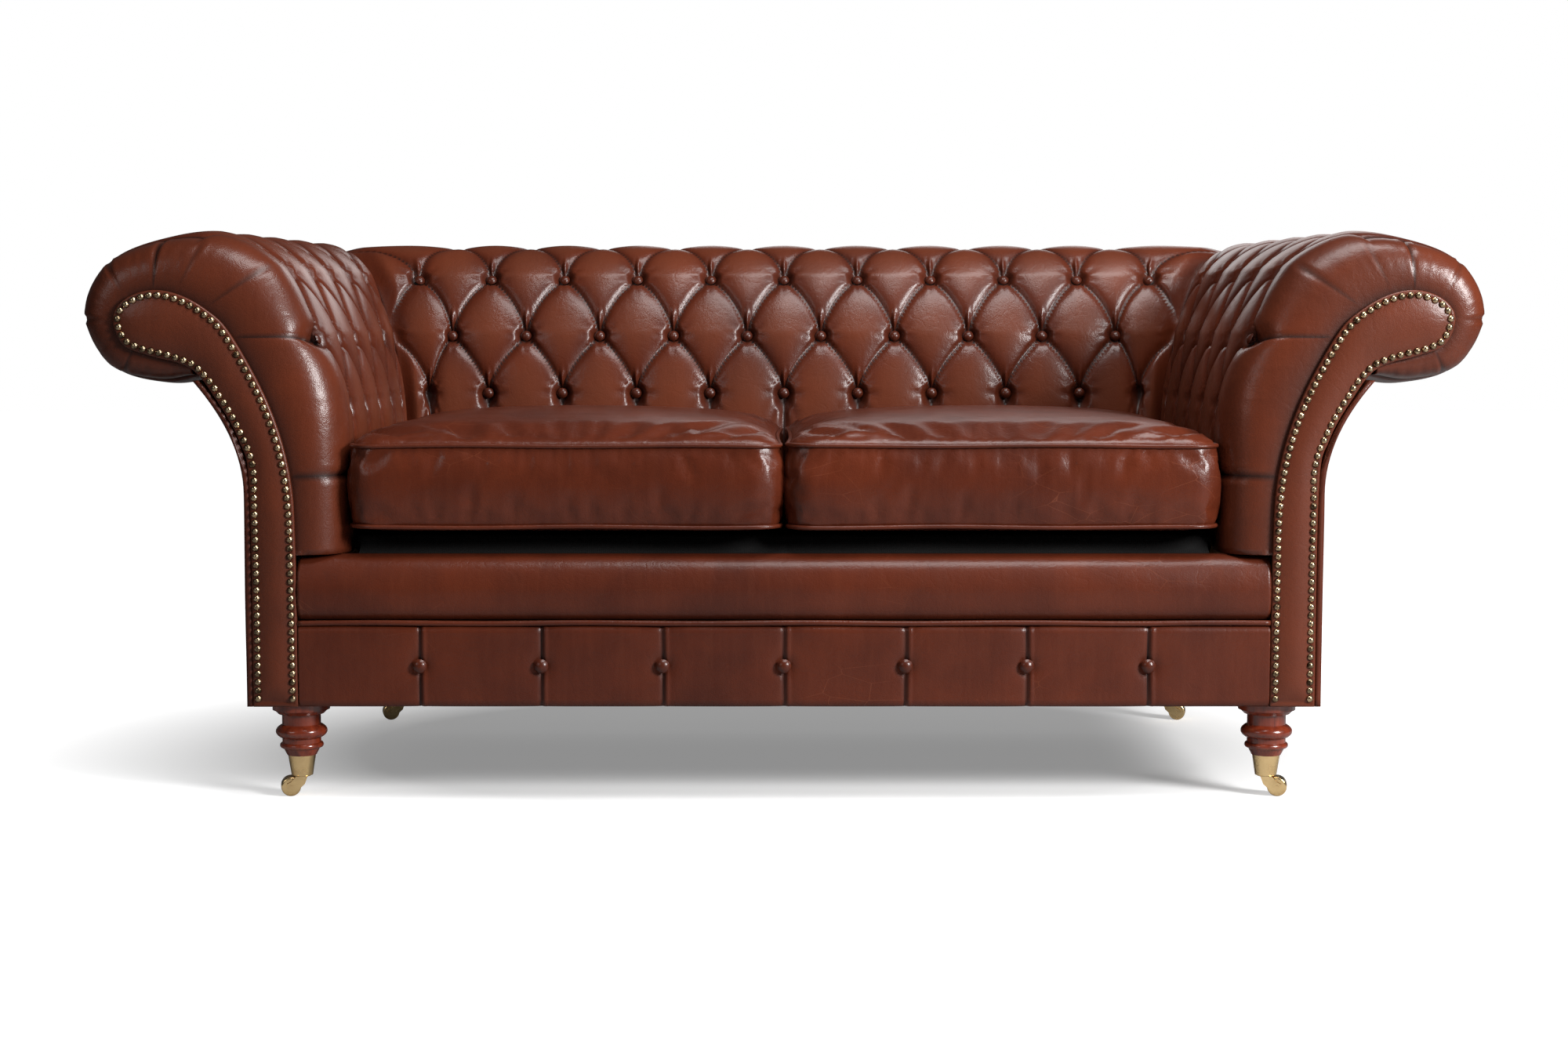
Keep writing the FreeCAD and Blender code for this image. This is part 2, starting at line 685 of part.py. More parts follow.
def rail_upholstery():
    plane, back = value["facing_plane"], value["rail_front"]
    half = value["arm_face"] + value["facing_inner"] - 1.0
    foot, top = value["frame_bottom"], value["frame_bottom"] + value["rail_panel_height"]
    pitch, depth = value["rail_pleat_pitch"], value["rail_pleat_depth"]
    count = int((half - pitch / 2) // pitch)
    stops = [-half] + [i * pitch for i in range(-count, count + 1)] + [half]
    edges = []
    for left, right in zip(stops, stops[1:]):
        start = vector(left, plane + depth, foot)
        end = vector(right, plane + depth, foot)
        middle = vector((left + right) / 2, plane, foot)
        edges.append(Part.Arc(start, middle, end).toShape())
    corners = [vector(half, plane + depth, foot), vector(half, back, foot), vector(-half, back, foot),
               vector(-half, plane + depth, foot)]
    panel = Part.Face(Part.Wire(edges + straight_edges(corners))).extrude(vector(0, 0, top - foot))
    keep_shape("front_rail_panel", panel)

    radius = value["rail_button_radius"]
    stem = Part.makeCylinder(1.5, depth, vector(0, 0, -depth))
    whole = domed_disc(radius, radius * 0.55).fuse(stem)
    button_y = plane - 0.3
    buttons = []
    for i in range(-count, count + 1):
        base = vector(i * pitch, button_y, foot + value["rail_button_rise"])
        buttons.append(set_on(whole, base, vector(0, -1, 0)))
    keep_shape("front_rail_buttons", Part.makeCompound(buttons))

    piping = doc.addObject("Part::Cylinder", "front_rail_piping")
    bind(piping, (
        ("Radius", "sizes.rail_piping_radius"),
        ("Height", "2 * (places.arm_face + sizes.facing_inner - 1)"),
        ("Placement.Base.x", "-(places.arm_face + sizes.facing_inner - 1)"),
        ("Placement.Base.y", "places.facing_plane + sizes.rail_piping_radius"),
        ("Placement.Base.z", "places.frame_bottom + sizes.rail_panel_height + sizes.rail_piping_radius"),
    ))
    piping.Placement = FreeCAD.Placement(piping.Placement.Base, FreeCAD.Rotation(vector(0, 1, 0), 90))
    keep(piping, "front_rail_piping")

    low = value["lip_bottom"]
    crest = value["pad_floor"] - value["lip_gap"]
    rail_top = value["rail_top"]
    heel = back + value["clip_setback"] - 1.0
    face = plane + 3.0
    nose = face - 3.0 + value["lip_bulge"] * 0.2
    section = [
        Part.Arc(vector(-half, face + 5.0, low), vector(-half, nose, (low + crest) / 2 - 6.0),
                 vector(-half, face + 14.0, crest - 12.0)).toShape(),
        Part.Arc(vector(-half, face + 14.0, crest - 12.0), vector(-half, face + 23.0, crest - 3.0),
                 vector(-half, heel, crest)).toShape(),
    ]
    tail = [vector(-half, heel, crest), vector(-half, heel, rail_top), vector(-half, back, rail_top),
            vector(-half, back, low), vector(-half, face + 5.0, low)]
    lip = Part.Face(Part.Wire(section + straight_edges(tail))).extrude(vector(2 * half, 0, 0))
    keep_shape("front_lip", lip)


# Seat cushions: horizontal outlines with bowed sides, stacked from the belly to the crown.

def cushion_ring(half_width, half_depth, corner, waist, z):
    """Rounded rectangle whose four sides are drawn in by waist at their middles."""
    w, d, c = half_width, half_depth, corner
    diagonal = c * (1 - math.sqrt(0.5))
    edges = []
    corners = ((1, 1), (-1, 1), (-1, -1), (1, -1))
    for index, (sx, sy) in enumerate(corners):
        first = vector(sx * w, sy * (d - c), z)
        second = vector(sx * (w - c), sy * d, z)
        if index % 2:
            first, second = second, first
        middle = vector(sx * (w - diagonal), sy * (d - diagonal), z)
        edges.append(Part.Arc(first, middle, second).toShape())
        nx, ny = corners[(index + 1) % 4]
        if index % 2 == 0:
            start, end = vector(sx * (w - c), sy * d, z), vector(nx * (w - c), ny * d, z)
            pulled = vector(0, sy * (d - waist), z)
        else:
            start, end = vector(sx * w, sy * (d - c), z), vector(nx * w, ny * (d - c), z)
            pulled = vector(sx * (w - waist), 0, z)
        edges.append(edge_through(start, pulled, end))
    return Part.Wire(edges)


def cushion_form(shell=0.0):
    """A crowned cushion centred on the origin, its lower seam at Z = 0.

    With a shell, it is the foam inside a cover of that thickness.
    """
    half_w, half_d = value["cushion_width"] / 2, value["cushion_depth"] / 2
    corner, waist, bead = value["cushion_corner"], value["cushion_waist"], value["bead_radius"]
    border, crown, belly = value["cushion_border"], value["cushion_crown"], value["cushion_belly"]
    tuck = 2.0

    def ring(inset, z, waist_share=1.0):
        inward = bead + inset + shell * 1.2
        round_corner = max(corner - inward * 0.35, 10.0)
        return cushion_ring(half_w - inward, half_d - inward, round_corner, waist * waist_share, z)

    def domed(angles, reach, seam, rise):
        """Rings of a dome that starts at a seam; rise is signed."""
        rings = []
        for angle in angles:
            turn = math.radians(angle)
            thin = math.copysign(shell, rise)
            rings.append(ring(reach * (1 - math.cos(turn)) + tuck, seam + rise * math.sin(turn) - thin))
        return rings

    rings = domed((75, 55, 30, 12), half_w - 40.0, -bead, bead - belly)
    if not shell:
        rings += [ring(tuck, -bead), ring(-bead, -bead * 0.45)]
        rings += [ring(-bead, bead * 0.45), ring(tuck, bead)]
    for inset, share, waist_share in ((-1.0, 0.3, 0.75), (-1.5, 0.55, 0.7), (-0.5, 0.8, 0.8)):
        rings.append(ring(inset, border * share, waist_share))
    if not shell:
        rings += [ring(tuck, border - bead), ring(-bead, border - bead * 0.45)]
        rings += [ring(-bead, border + bead * 0.45), ring(tuck, border + bead)]
    rings += domed((12, 26, 42, 58, 75), half_w - 30.0, border + bead, crown - bead)
    return ruled_solid(rings)


def cushions():
    mid_x = value["cushion_gap"] / 2 + value["cushion_width"] / 2
    mid_y = value["cushion_front"] + value["cushion_depth"] / 2
    core = cushion_form(value["cover_thickness"])
    cover = cushion_form().cut(core)
    for side_name, side in SIDES:
        place = FreeCAD.Placement(vector(side * mid_x, mid_y, value["seat_level"]), FreeCAD.Rotation())
        for label, shape in ((f"cushion_cover_{side_name}", cover), (f"cushion_core_{side_name}", core)):
            keep_shape(label, shape, place)


# Timber frame.

def frame():
    face, back = "places.arm_face", "places.back_face"
    bottom = "places.frame_bottom"
    half = "places.front_block_x"
    keep(board("seat_front_rail", f"-{half}", "places.rail_front", bottom, f"2 * {half}",
               "sizes.rail_thickness", "sizes.rail_height"), "seat_front_rail")
    inner = "(places.rear_leg_x - sizes.block_width / 2)"
    keep(board("seat_back_rail", f"-{inner}", "places.back_rail_y", bottom, f"2 * {inner}",
               "sizes.rail_thickness", "sizes.rail_height"), "seat_back_rail")
    keep(board("seat_centre_stretcher", "-sizes.rail_thickness / 2", "places.rail_back", bottom,
               "sizes.rail_thickness", "places.back_rail_y - places.rail_back", "sizes.side_rail_height"),
         "seat_centre_stretcher")

    for side_name, side in SIDES:
        x = "places.side_rail_x" if side > 0 else "-(places.side_rail_x + sizes.side_rail_thickness)"
        keep(board(f"side_rail_{side_name}", x, "places.side_rail_front", bottom, "sizes.side_rail_thickness",
                   "places.back_face + sizes.post_back - places.side_rail_front", "sizes.side_rail_height"),
             f"seat_side_rail_{side_name}")

    blocks = []
    for corner, side, leg_x, leg_y in LEG_CORNERS:
        x = f"{side} * places.{leg_x} - sizes.block_width / 2"
        y = "places.board_back" if corner.startswith("front") else "places.rear_block_y"
        block = board(f"block_{corner}", x, y, bottom, "sizes.block_width", "sizes.block_width",
                      "sizes.block_height")
        hole = rod(f"block_hole_{corner}", "sizes.bolt_radius + sizes.fit", "sizes.block_height + 2",
                   f"{side} * places.{leg_x}", f"places.{leg_y}", f"{bottom} - 1")
        blocks.append(cut(f"drilled_block_{corner}", block, hole))
    group = doc.addObject("Part::Compound", "corner_blocks")
    group.Links = blocks
    keep(group, "corner_blocks")

    posts = []
    depth = "sizes.post_back - sizes.post_front"
    for name, x, base in (
        ("left", "-places.rear_leg_x - sizes.post_width / 2", "places.frame_bottom + sizes.block_height"),
        ("right", "places.rear_leg_x - sizes.post_width / 2", "places.frame_bottom + sizes.block_height"),
        ("centre", "-sizes.post_width / 2", "places.rail_top"),
    ):
        posts.append(board(f"post_{name}", x, f"{back} + sizes.post_front", base, "sizes.post_width", depth,
                           f"places.top_rail_bottom - ({base})"))
    group = doc.addObject("Part::Compound", "back_posts")
    group.Links = posts
    keep(group, "back_posts")

    rail_half = f"({face} + sizes.arm_rail_offset)"
    keep(board("back_top_rail", f"-{rail_half}", f"{back} + sizes.top_rail_offset", "places.top_rail_bottom",
               f"2 * {rail_half}", "sizes.top_rail_width", "sizes.top_rail_thickness"), "back_top_rail")
    tack_half = "(places.rear_leg_x + sizes.post_width / 2)"
    tack_low = "places.pad_floor + sizes.tack_rail_lift"
    web_y = f"{back} + sizes.post_front - sizes.web_thickness"
    keep(board("back_tack_rail", f"-{tack_half}", f"{web_y} - sizes.tack_rail_thickness", tack_low,
               f"2 * {tack_half}", "sizes.tack_rail_thickness", "sizes.tack_rail_height"), "back_tack_rail")
    straps = []
    for index in range(int(value["web_count"])):
        straps.append(board(f"web_{index}", f"-{tack_half}", web_y,
                            f"{tack_low} + sizes.tack_rail_height / 4 + {index} * sizes.web_pitch",
                            f"2 * {tack_half}", "sizes.web_thickness", "sizes.web_width"))
    group = doc.addObject("Part::Compound", "back_webbing")
    group.Links = straps
    keep(group, "back_webbing")

    for side_name, side in SIDES:
        inner_x = f"({face} + sizes.arm_tack_offset)"
        x = inner_x if side > 0 else f"-({inner_x} + sizes.tack_rail_thickness)"
        keep(board(f"tack_rail_{side_name}", x, "places.board_back", tack_low, "sizes.tack_rail_thickness",
                   f"{back} + sizes.post_front - sizes.board_thickness - places.board_back",
                   "sizes.tack_rail_height"), f"arm_tack_rail_{side_name}")


def arm_timbers():
    arm_face, back_face = value["arm_face"], value["back_face"]
    width, bottom = value["arm_rail_width"], value["top_rail_bottom"]
    front_y = value["board_back"]
    rear_y = back_face + value["top_rail_offset"] + value["top_rail_width"]
    front_x = arm_face + value["arm_spread"] - value["arm_rail_inset"]
    rear_x = arm_face + value["arm_rail_offset"]
    plan = [vector(x, y, bottom) for x, y in (
        (front_x, front_y), (front_x + width, front_y), (rear_x + width, back_face), (rear_x + width, rear_y),
        (rear_x, rear_y), (rear_x, back_face), (front_x, front_y),
    )]
    rail = Part.Face(Part.makePolygon(plan)).extrude(vector(0, 0, value["top_rail_thickness"]))
    keep_shape("arm_top_rail_right", rail)
    keep_shape("arm_top_rail_left", mirrored(rail))

    foot = value["frame_bottom"] + value["side_rail_height"]
    thickness = value["board_thickness"]
    board_y = back_face + value["post_front"] - thickness
    inner = value["post_front"]
    outer = value["outside_offset"] - value["outside_thickness"] - 2.5
    knee = bottom - 210.0
    outline = [(inner, foot), (outer, foot), (outer, knee), (outer + 12.0, bottom - 50.0),
               (outer + 20.0, bottom), (inner + 28.0, bottom), (inner + 16.0, bottom - 90.0), (inner, knee),
               (inner, foot)]
    points = [vector(arm_face + o, board_y, h) for o, h in outline]
    rear_board = Part.Face(Part.makePolygon(points)).extrude(vector(0, thickness, 0))
    keep_shape("arm_rear_board_right", rear_board)
    keep_shape("arm_rear_board_left", mirrored(rear_board))


# Seat springing: serpentine springs in clips on the rails, hessian, and the deck pad.

def spring_wire_path(x, front_y, rear_y, z):
    """A flat zigzag wire with round bends from the front rail to the back rail."""
    bends = int(value["spring_bends"])
    reach = value["spring_sweep"] / 2
    radius = (rear_y - front_y) / (2 * bends)
    tail = value["clip_length"] * 0.45
    edges = [Part.LineSegment(vector(x - tail, front_y, z), vector(x + reach - radius, front_y, z))]
    y, side = front_y, 1
    for bend in range(bends):
        turn = x + side * (reach - radius)
        edges.append(Part.Arc(vector(turn, y, z), vector(turn + side * radius, y + radius, z),
                              vector(turn, y + 2 * radius, z)))
        y += 2 * radius
        last = bend == bends - 1
        end = x - side * (tail if last else reach - radius)
        edges.append(Part.LineSegment(vector(turn, y, z), vector(end, y, z)))
        side = -side
    return Part.Wire([edge.toShape() for edge in edges])


def seat_springing():
    count = int(value["spring_count"])
    wire = value["spring_wire"] / 2
    z = value["rail_top"] + value["clip_height"] / 2
    front_y = value["rail_front"] + value["clip_setback"] + value["clip_depth"] / 2
    rear_y = value["back_rail_y"] + value["rail_thickness"] / 2
    springs, clips = [], []
    for index in range(count):
        x = (index - (count - 1) / 2) * value["spring_spacing"]
        path = spring_wire_path(x, front_y, rear_y, z)
        start = path.Vertexes[0].Point
        section = Part.Wire([Part.Circle(start, vector(1, 0, 0), wire).toShape()])
        springs.append(path.makePipeShell([section], True, False))
        for y in (front_y, rear_y):
            low = vector(x - value["clip_length"] / 2, y - value["clip_depth"] / 2, value["rail_top"])
            block = Part.makeBox(value["clip_length"], value["clip_depth"], value["clip_height"], low)
            bore = Part.makeCylinder(wire + value["fit"], value["clip_length"] + 2,
                                     vector(low.x - 1, y, z), vector(1, 0, 0))
            clips.append(block.cut(bore))
    keep_shape("seat_springs", Part.makeCompound(springs))
    keep_shape("spring_clips", Part.makeCompound(clips))

    deck_z = "(places.hessian_low + sizes.hessian_thickness)"
    deck_width = "2 * places.deck_half"
    deck_depth = "places.back_face - sizes.deck_clearance - places.deck_front"
    for name, low, height, label in (
        ("hessian", "places.hessian_low", "sizes.hessian_thickness", "seat_hessian"),
        ("deck", deck_z, f"places.deck_top - {deck_z}", "seat_deck_pad"),
    ):
        corner = ("-places.deck_half", "places.deck_front", low)
        keep(board(name, *corner, deck_width, deck_depth, height), label)
    cloth_half = "(places.deck_half - sizes.cloth_margin)"
    keep(board("dust_cloth", f"-{cloth_half}", "places.rail_back + 1",
               "places.frame_bottom - sizes.cloth_thickness", f"2 * {cloth_half}",
               "places.back_rail_y - places.rail_back - 2", "sizes.cloth_thickness"), "bottom_cloth")


# Turned legs, bolts and castors.

def leg(corner, side, leg_x, leg_y):
    """A turned leg: flange, hollow neck, bulb, ring and a tapered spigot for the castor cup."""
    x, y = f"{side} * places.{leg_x}", f"places.{leg_y}"
    top, low = "places.frame_bottom", "sizes.castor_height"
    parts = [
        rod(f"flange_{corner}", "sizes.flange_radius", "sizes.flange_height - 4", x, y,
            f"{top} - sizes.flange_height + 4"),
        cone(f"cove_{corner}", "sizes.bulb_radius - 4", "sizes.flange_radius - 2", "6", x, y,
             f"{top} - sizes.flange_height - 2"),
        rod(f"stem_{corner}", "sizes.neck_radius", f"{top} - {low} - 14", x, y, f"{low} + 12"),
        cone(f"taper_{corner}", "sizes.cup_top_radius + 1", "sizes.neck_radius", "12.5", x, y, low),
    ]
    bulb = helper("Part::Ellipsoid", f"bulb_{corner}", ("Radius1", "sizes.bulb_height / 2"),
                  ("Radius2", "sizes.bulb_radius"), ("Radius3", "sizes.bulb_radius"),
                  ("Placement.Base.x", x), ("Placement.Base.y", y),
                  ("Placement.Base.z", f"{low} + sizes.bulb_rise"))
    ring = helper("Part::Torus", f"ring_{corner}", ("Radius1", "sizes.ring_radius - 4"), ("Radius2", "4"),
                  ("Placement.Base.x", x), ("Placement.Base.y", y), ("Placement.Base.z", f"{low} + 14"))
    spigot = cone(f"spigot_{corner}", "sizes.cup_foot_radius - sizes.cup_wall - sizes.fit",
                  "sizes.cup_top_radius - sizes.cup_wall - sizes.fit",
                  "sizes.cup_depth - sizes.cup_floor - 1", x, y,
                  f"{low} - sizes.cup_depth + sizes.cup_floor + 1")
    turned = fuse(f"turned_{corner}", parts + [bulb, ring, spigot])
    hole = rod(f"leg_hole_{corner}", "sizes.bolt_radius + sizes.fit", "sizes.bolt_length", x, y,
               f"{top} + sizes.block_height - sizes.bolt_head_cover - sizes.bolt_length")
    keep(cut(f"bored_{corner}", turned, hole), f"leg_{corner}")
    return rod(f"bolt_{corner}", "sizes.bolt_radius", "sizes.bolt_length - 0.5", x, y,
               f"{top} + sizes.block_height - sizes.bolt_head_cover - sizes.bolt_length + 0.5")


def castor_cup(corner, side, leg_x, leg_y):
    x, y = f"{side} * places.{leg_x}", f"places.{leg_y}"
    low = "(sizes.castor_height - sizes.cup_depth)"
    outside = cone(f"cup_outside_{corner}", "sizes.cup_foot_radius", "sizes.cup_top_radius",
                   "sizes.cup_depth", x, y, low)
    bore = cone(f"cup_bore_{corner}", "sizes.cup_foot_radius - sizes.cup_wall",
                "sizes.cup_top_radius - sizes.cup_wall", "sizes.cup_depth - sizes.cup_floor",
                x, y, f"{low} + sizes.cup_floor")
    hole = rod(f"cup_hole_{corner}", "sizes.swivel_pin_radius + sizes.fit", "sizes.cup_floor + 2",
               x, y, f"{low} - 1")
    return cut(f"cup_{corner}", cut(f"cup_shell_{corner}", outside, bore), hole)


def castor_frame(corner, side, leg_x, leg_y):
    """Placement of a castor: its trailing wheel points outboard and a little forward."""
    turn = value["castor_turn"] if side < 0 else 180.0 - value["castor_turn"]
    base = vector(side * value[leg_x], value[leg_y], 0)
    return FreeCAD.Placement(base, FreeCAD.Rotation(vector(0, 0, 1), turn))


def castor_shapes():
    """Horn, axle and wheel of one castor that trails along -X from a swivel on the Z axis."""
    cup_low = value["castor_height"] - value["cup_depth"]
    plate_top = cup_low - value["swivel_gap"]
    plate_low = plate_top - value["swivel_plate"]
    radius, trail = value["wheel_radius"], value["castor_trail"]
    half = value["wheel_width"] / 2 + value["wheel_gap"]
    cheek = value["cheek_thickness"]
    wide = half + cheek
    plate_radius = value["cup_foot_radius"] - 3.0
    plate = Part.makeCylinder(plate_radius, value["swivel_plate"], vector(0, 0, plate_low))
    bridge = Part.makeBox(16.0, 2 * wide, value["swivel_plate"], vector(-9.0, -wide, plate_low))
    pin = Part.makeCylinder(value["swivel_pin_radius"], value["cup_floor"] + value["swivel_gap"] + 0.6,
                            vector(0, 0, plate_top))
    outline = [(-9.0, plate_top), (7.0, plate_top), (3.0, radius + 4.0), (-8.0, radius - 6.0),
               (-trail - 2.0, radius - 6.5), (-trail - 6.5, radius - 1.0), (-trail - 5.5, radius + 4.5),
               (-trail, radius + 7.0), (-9.0, plate_top)]
    horn = plate.fuse([bridge, pin])
    for y in (-wide, half):
        points = [vector(x, y, z) for x, z in outline]
        horn = horn.fuse(Part.Face(Part.makePolygon(points)).extrude(vector(0, cheek, 0)))
    axle_radius = value["axle_radius"]

    def across(rod_radius, length):
        """A rod along the axle's line, centred between the cheeks."""
        return Part.makeCylinder(rod_radius, length, vector(-trail, -length / 2, radius), vector(0, 1, 0))

    bore = across(axle_radius + value["fit"], 4 * wide)
    horn = horn.cut(bore).removeSplitter()
    axle = across(axle_radius, 2 * wide + 2.0)
    wheel = across(radius, value["wheel_width"])
    wheel = wheel.makeFillet(3.0, [e for e in wheel.Edges if e.Closed]).cut(bore)
    return horn, axle, wheel


def legs_and_castors():
    bolts, cups = [], []
    horn, axle, wheel = castor_shapes()
    for corner in LEG_CORNERS:
        bolts.append(leg(*corner))
        cups.append(castor_cup(*corner))
        place = castor_frame(*corner)
        for label, shape in (("castor_horn", horn), ("castor_axle", axle), ("castor_wheel", wheel)):
            keep_shape(f"{label}_{corner[0]}", shape, place)
    for label, pieces in (("leg_bolts", bolts), ("castor_cups", cups)):
        group = doc.addObject("Part::Compound", label)
        group.Links = pieces
        keep(group, label)


frame()
arm_timbers()
seat_springing()
rail_upholstery()
facings()
outside_panels()
back_pad_and_buttons()
arm_pads_and_buttons()
cushions()
legs_and_castors()
doc.recompute()

for piece in doc.Objects:
    bad = [state for state in piece.State if state in ("Invalid", "Error")]
    if bad:
        raise RuntimeError(f"{piece.Label} is {bad}")
for piece in kept:
    if piece.Shape.isNull() or not piece.Shape.isValid():
        raise RuntimeError(f"{piece.Label} has no valid shape")

os.makedirs("parts", exist_ok=True)
for piece in kept:
    piece.Shape.exportStep(f"parts/{piece.Label}.step")
print(len(kept), "sub-parts")
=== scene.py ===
"""Looks of a button-back roll-arm sofa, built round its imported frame. Lengths are in metres."""
import logging
import math
from collections.abc import Callable, Sequence
from dataclasses import dataclass
from enum import Enum
from functools import lru_cache

import bmesh
import bpy
import numpy as np
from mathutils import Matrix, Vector, noise


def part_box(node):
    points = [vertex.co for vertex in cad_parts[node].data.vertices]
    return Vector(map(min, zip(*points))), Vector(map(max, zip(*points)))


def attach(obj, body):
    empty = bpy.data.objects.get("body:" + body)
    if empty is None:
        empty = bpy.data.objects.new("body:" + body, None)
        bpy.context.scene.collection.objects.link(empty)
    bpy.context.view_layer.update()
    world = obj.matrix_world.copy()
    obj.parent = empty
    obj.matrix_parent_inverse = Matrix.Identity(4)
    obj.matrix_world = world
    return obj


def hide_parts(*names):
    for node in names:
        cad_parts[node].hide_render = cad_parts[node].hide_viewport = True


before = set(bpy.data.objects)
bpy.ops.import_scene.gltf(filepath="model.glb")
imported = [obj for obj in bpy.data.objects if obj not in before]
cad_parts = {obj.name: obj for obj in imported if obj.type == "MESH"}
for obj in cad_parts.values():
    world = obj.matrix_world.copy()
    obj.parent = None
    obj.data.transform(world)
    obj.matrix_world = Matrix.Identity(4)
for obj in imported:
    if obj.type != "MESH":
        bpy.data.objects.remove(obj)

log = logging.getLogger("sofa")
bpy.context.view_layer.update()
Colour = tuple[float, float, float]
Place = tuple[float, float, float]
Outline = Sequence[tuple[float, float]]
CARCASS = "carcass"


class Side(Enum):
    """The two hands of the sofa, with the sign of X on each."""

    LEFT = -1
    RIGHT = 1

    @property
    def word(self) -> str:
        """The side's name as the nodes spell it."""
        return self.name.lower()


class Slot(str, Enum):
    """The record's material slots."""

    LEATHER = "leather"
    BEECH = "beech"
    MAHOGANY = "mahogany"
    CASTOR_BRASS = "castor_brass"
    NAIL_BRASS = "nail_brass"
    STEEL = "spring_steel"
    HESSIAN = "hessian"
    DECK_CLOTH = "deck_cloth"
    FOAM = "foam"


# Finishes


@dataclass
class Wiring:
    """Short calls that add nodes to one node tree and link them."""

    tree: bpy.types.NodeTree

    def add(self, kind: str, inputs: dict | None = None, **settings: object) -> bpy.types.Node:
        """Adds a node.

        Args:
            kind: the node's type name.
            inputs: socket name or index to a constant or to the socket that feeds it.
            settings: properties of the node itself.

        Returns:
            The new node.
        """
        node = self.tree.nodes.new(kind)
        for key, setting in settings.items():
            setattr(node, key, setting)
        for key, content in (inputs or {}).items():
            socket = node.inputs[key]
            if isinstance(content, bpy.types.NodeSocket):
                self.tree.links.new(content, socket)
            else:
                socket.default_value = content
        return node

    def feed(self, node: bpy.types.Node, **sources: bpy.types.NodeSocket) -> None:
        """Links sources to inputs of a node.

        Args:
            node: the node to feed.
            sources: a socket for each input's name, with underscores for its spaces.
        """
        for key, source in sources.items():
            self.tree.links.new(source, node.inputs[key.replace("_", " ")])

    def math(self, operation: str, *values: object) -> bpy.types.NodeSocket:
        """The result of a Math node.

        Args:
            operation: what it does.
            values: constants or sockets that it does it with.

        Returns:
            The result socket.
        """
        return self.add("ShaderNodeMath", dict(enumerate(values)), operation=operation).outputs[0]

    def spread(self, content: bpy.types.NodeSocket, low: float, high: float,
               to_low: float = 0.0, to_high: float = 1.0) -> bpy.types.NodeSocket:
        """A value mapped from one range to another, clamped.

        Args:
            content: the value's socket.
            low: start of the range it is read in.
            high: end of that range.
            to_low: start of the range it is given.
            to_high: end of that range.

        Returns:
            The result socket.
        """
        return self.add("ShaderNodeMapRange", {
            "Value": content, "From Min": low, "From Max": high,
            "To Min": to_low, "To Max": to_high}).outputs["Result"]

    def mix(self, share: object, first: object, second: object) -> bpy.types.NodeSocket:
        """A colour between two.

        Args:
            share: how much of the second there is, 0 to 1.
            first: the colour at 0.
            second: the colour at 1.

        Returns:
            The colour socket.
        """
        return self.add("ShaderNodeMix", {0: share, 6: first, 7: second}, data_type="RGBA").outputs[2]

    def noise(self, vector: bpy.types.NodeSocket, scale: float, detail: float = 3.0,
              distortion: float = 0.0) -> bpy.types.NodeSocket:
        """Smooth noise in space.

        Args:
            vector: where it is read.
            scale: how fine it is.
            detail: its finer layers.
            distortion: how far it is warped.

        Returns:
            The factor socket.
        """
        return self.add("ShaderNodeTexNoise", {
            "Vector": vector, "Scale": scale, "Detail": detail, "Distortion": distortion}).outputs["Fac"]

    def bump(self, strength: float, distance: float, height: bpy.types.NodeSocket,
             **inputs: bpy.types.NodeSocket) -> bpy.types.NodeSocket:
        """A normal that follows a height.

        Args:
            strength: share of the bump that counts.
            distance: metres that a height of 1 stands for.
            height: the height's socket.
            inputs: further inputs of the node.

        Returns:
            The normal socket.
        """
        return self.add("ShaderNodeBump", {
            "Strength": strength, "Distance": distance, "Height": height, **inputs}).outputs["Normal"]

    def stretched(self, vector: bpy.types.NodeSocket, scale: Place) -> bpy.types.NodeSocket:
        """A vector scaled axis by axis."""
        return self.add("ShaderNodeMapping", {"Vector": vector, "Scale": scale}).outputs[0]


def opaque(colour: Colour) -> tuple[float, float, float, float]:
    """A colour with full alpha."""
    return (*colour, 1.0)


def shared_group(name: str, outputs: Sequence[str]) -> tuple[Wiring, bpy.types.Node, bpy.types.Node]:
    """An empty shader group with a Vector input and float outputs.

    Args:
        name: the group's name.
        outputs: names of its float outputs.

    Returns:
        The group's wiring, its input node and its output node.
    """
    tree = bpy.data.node_groups.new(name, "ShaderNodeTree")
    tree.interface.new_socket("Vector", in_out="INPUT", socket_type="NodeSocketVector")
    for output in outputs:
        tree.interface.new_socket(output, in_out="OUTPUT", socket_type="NodeSocketFloat")
    return Wiring(tree), tree.nodes.new("NodeGroupInput"), tree.nodes.new("NodeGroupOutput")


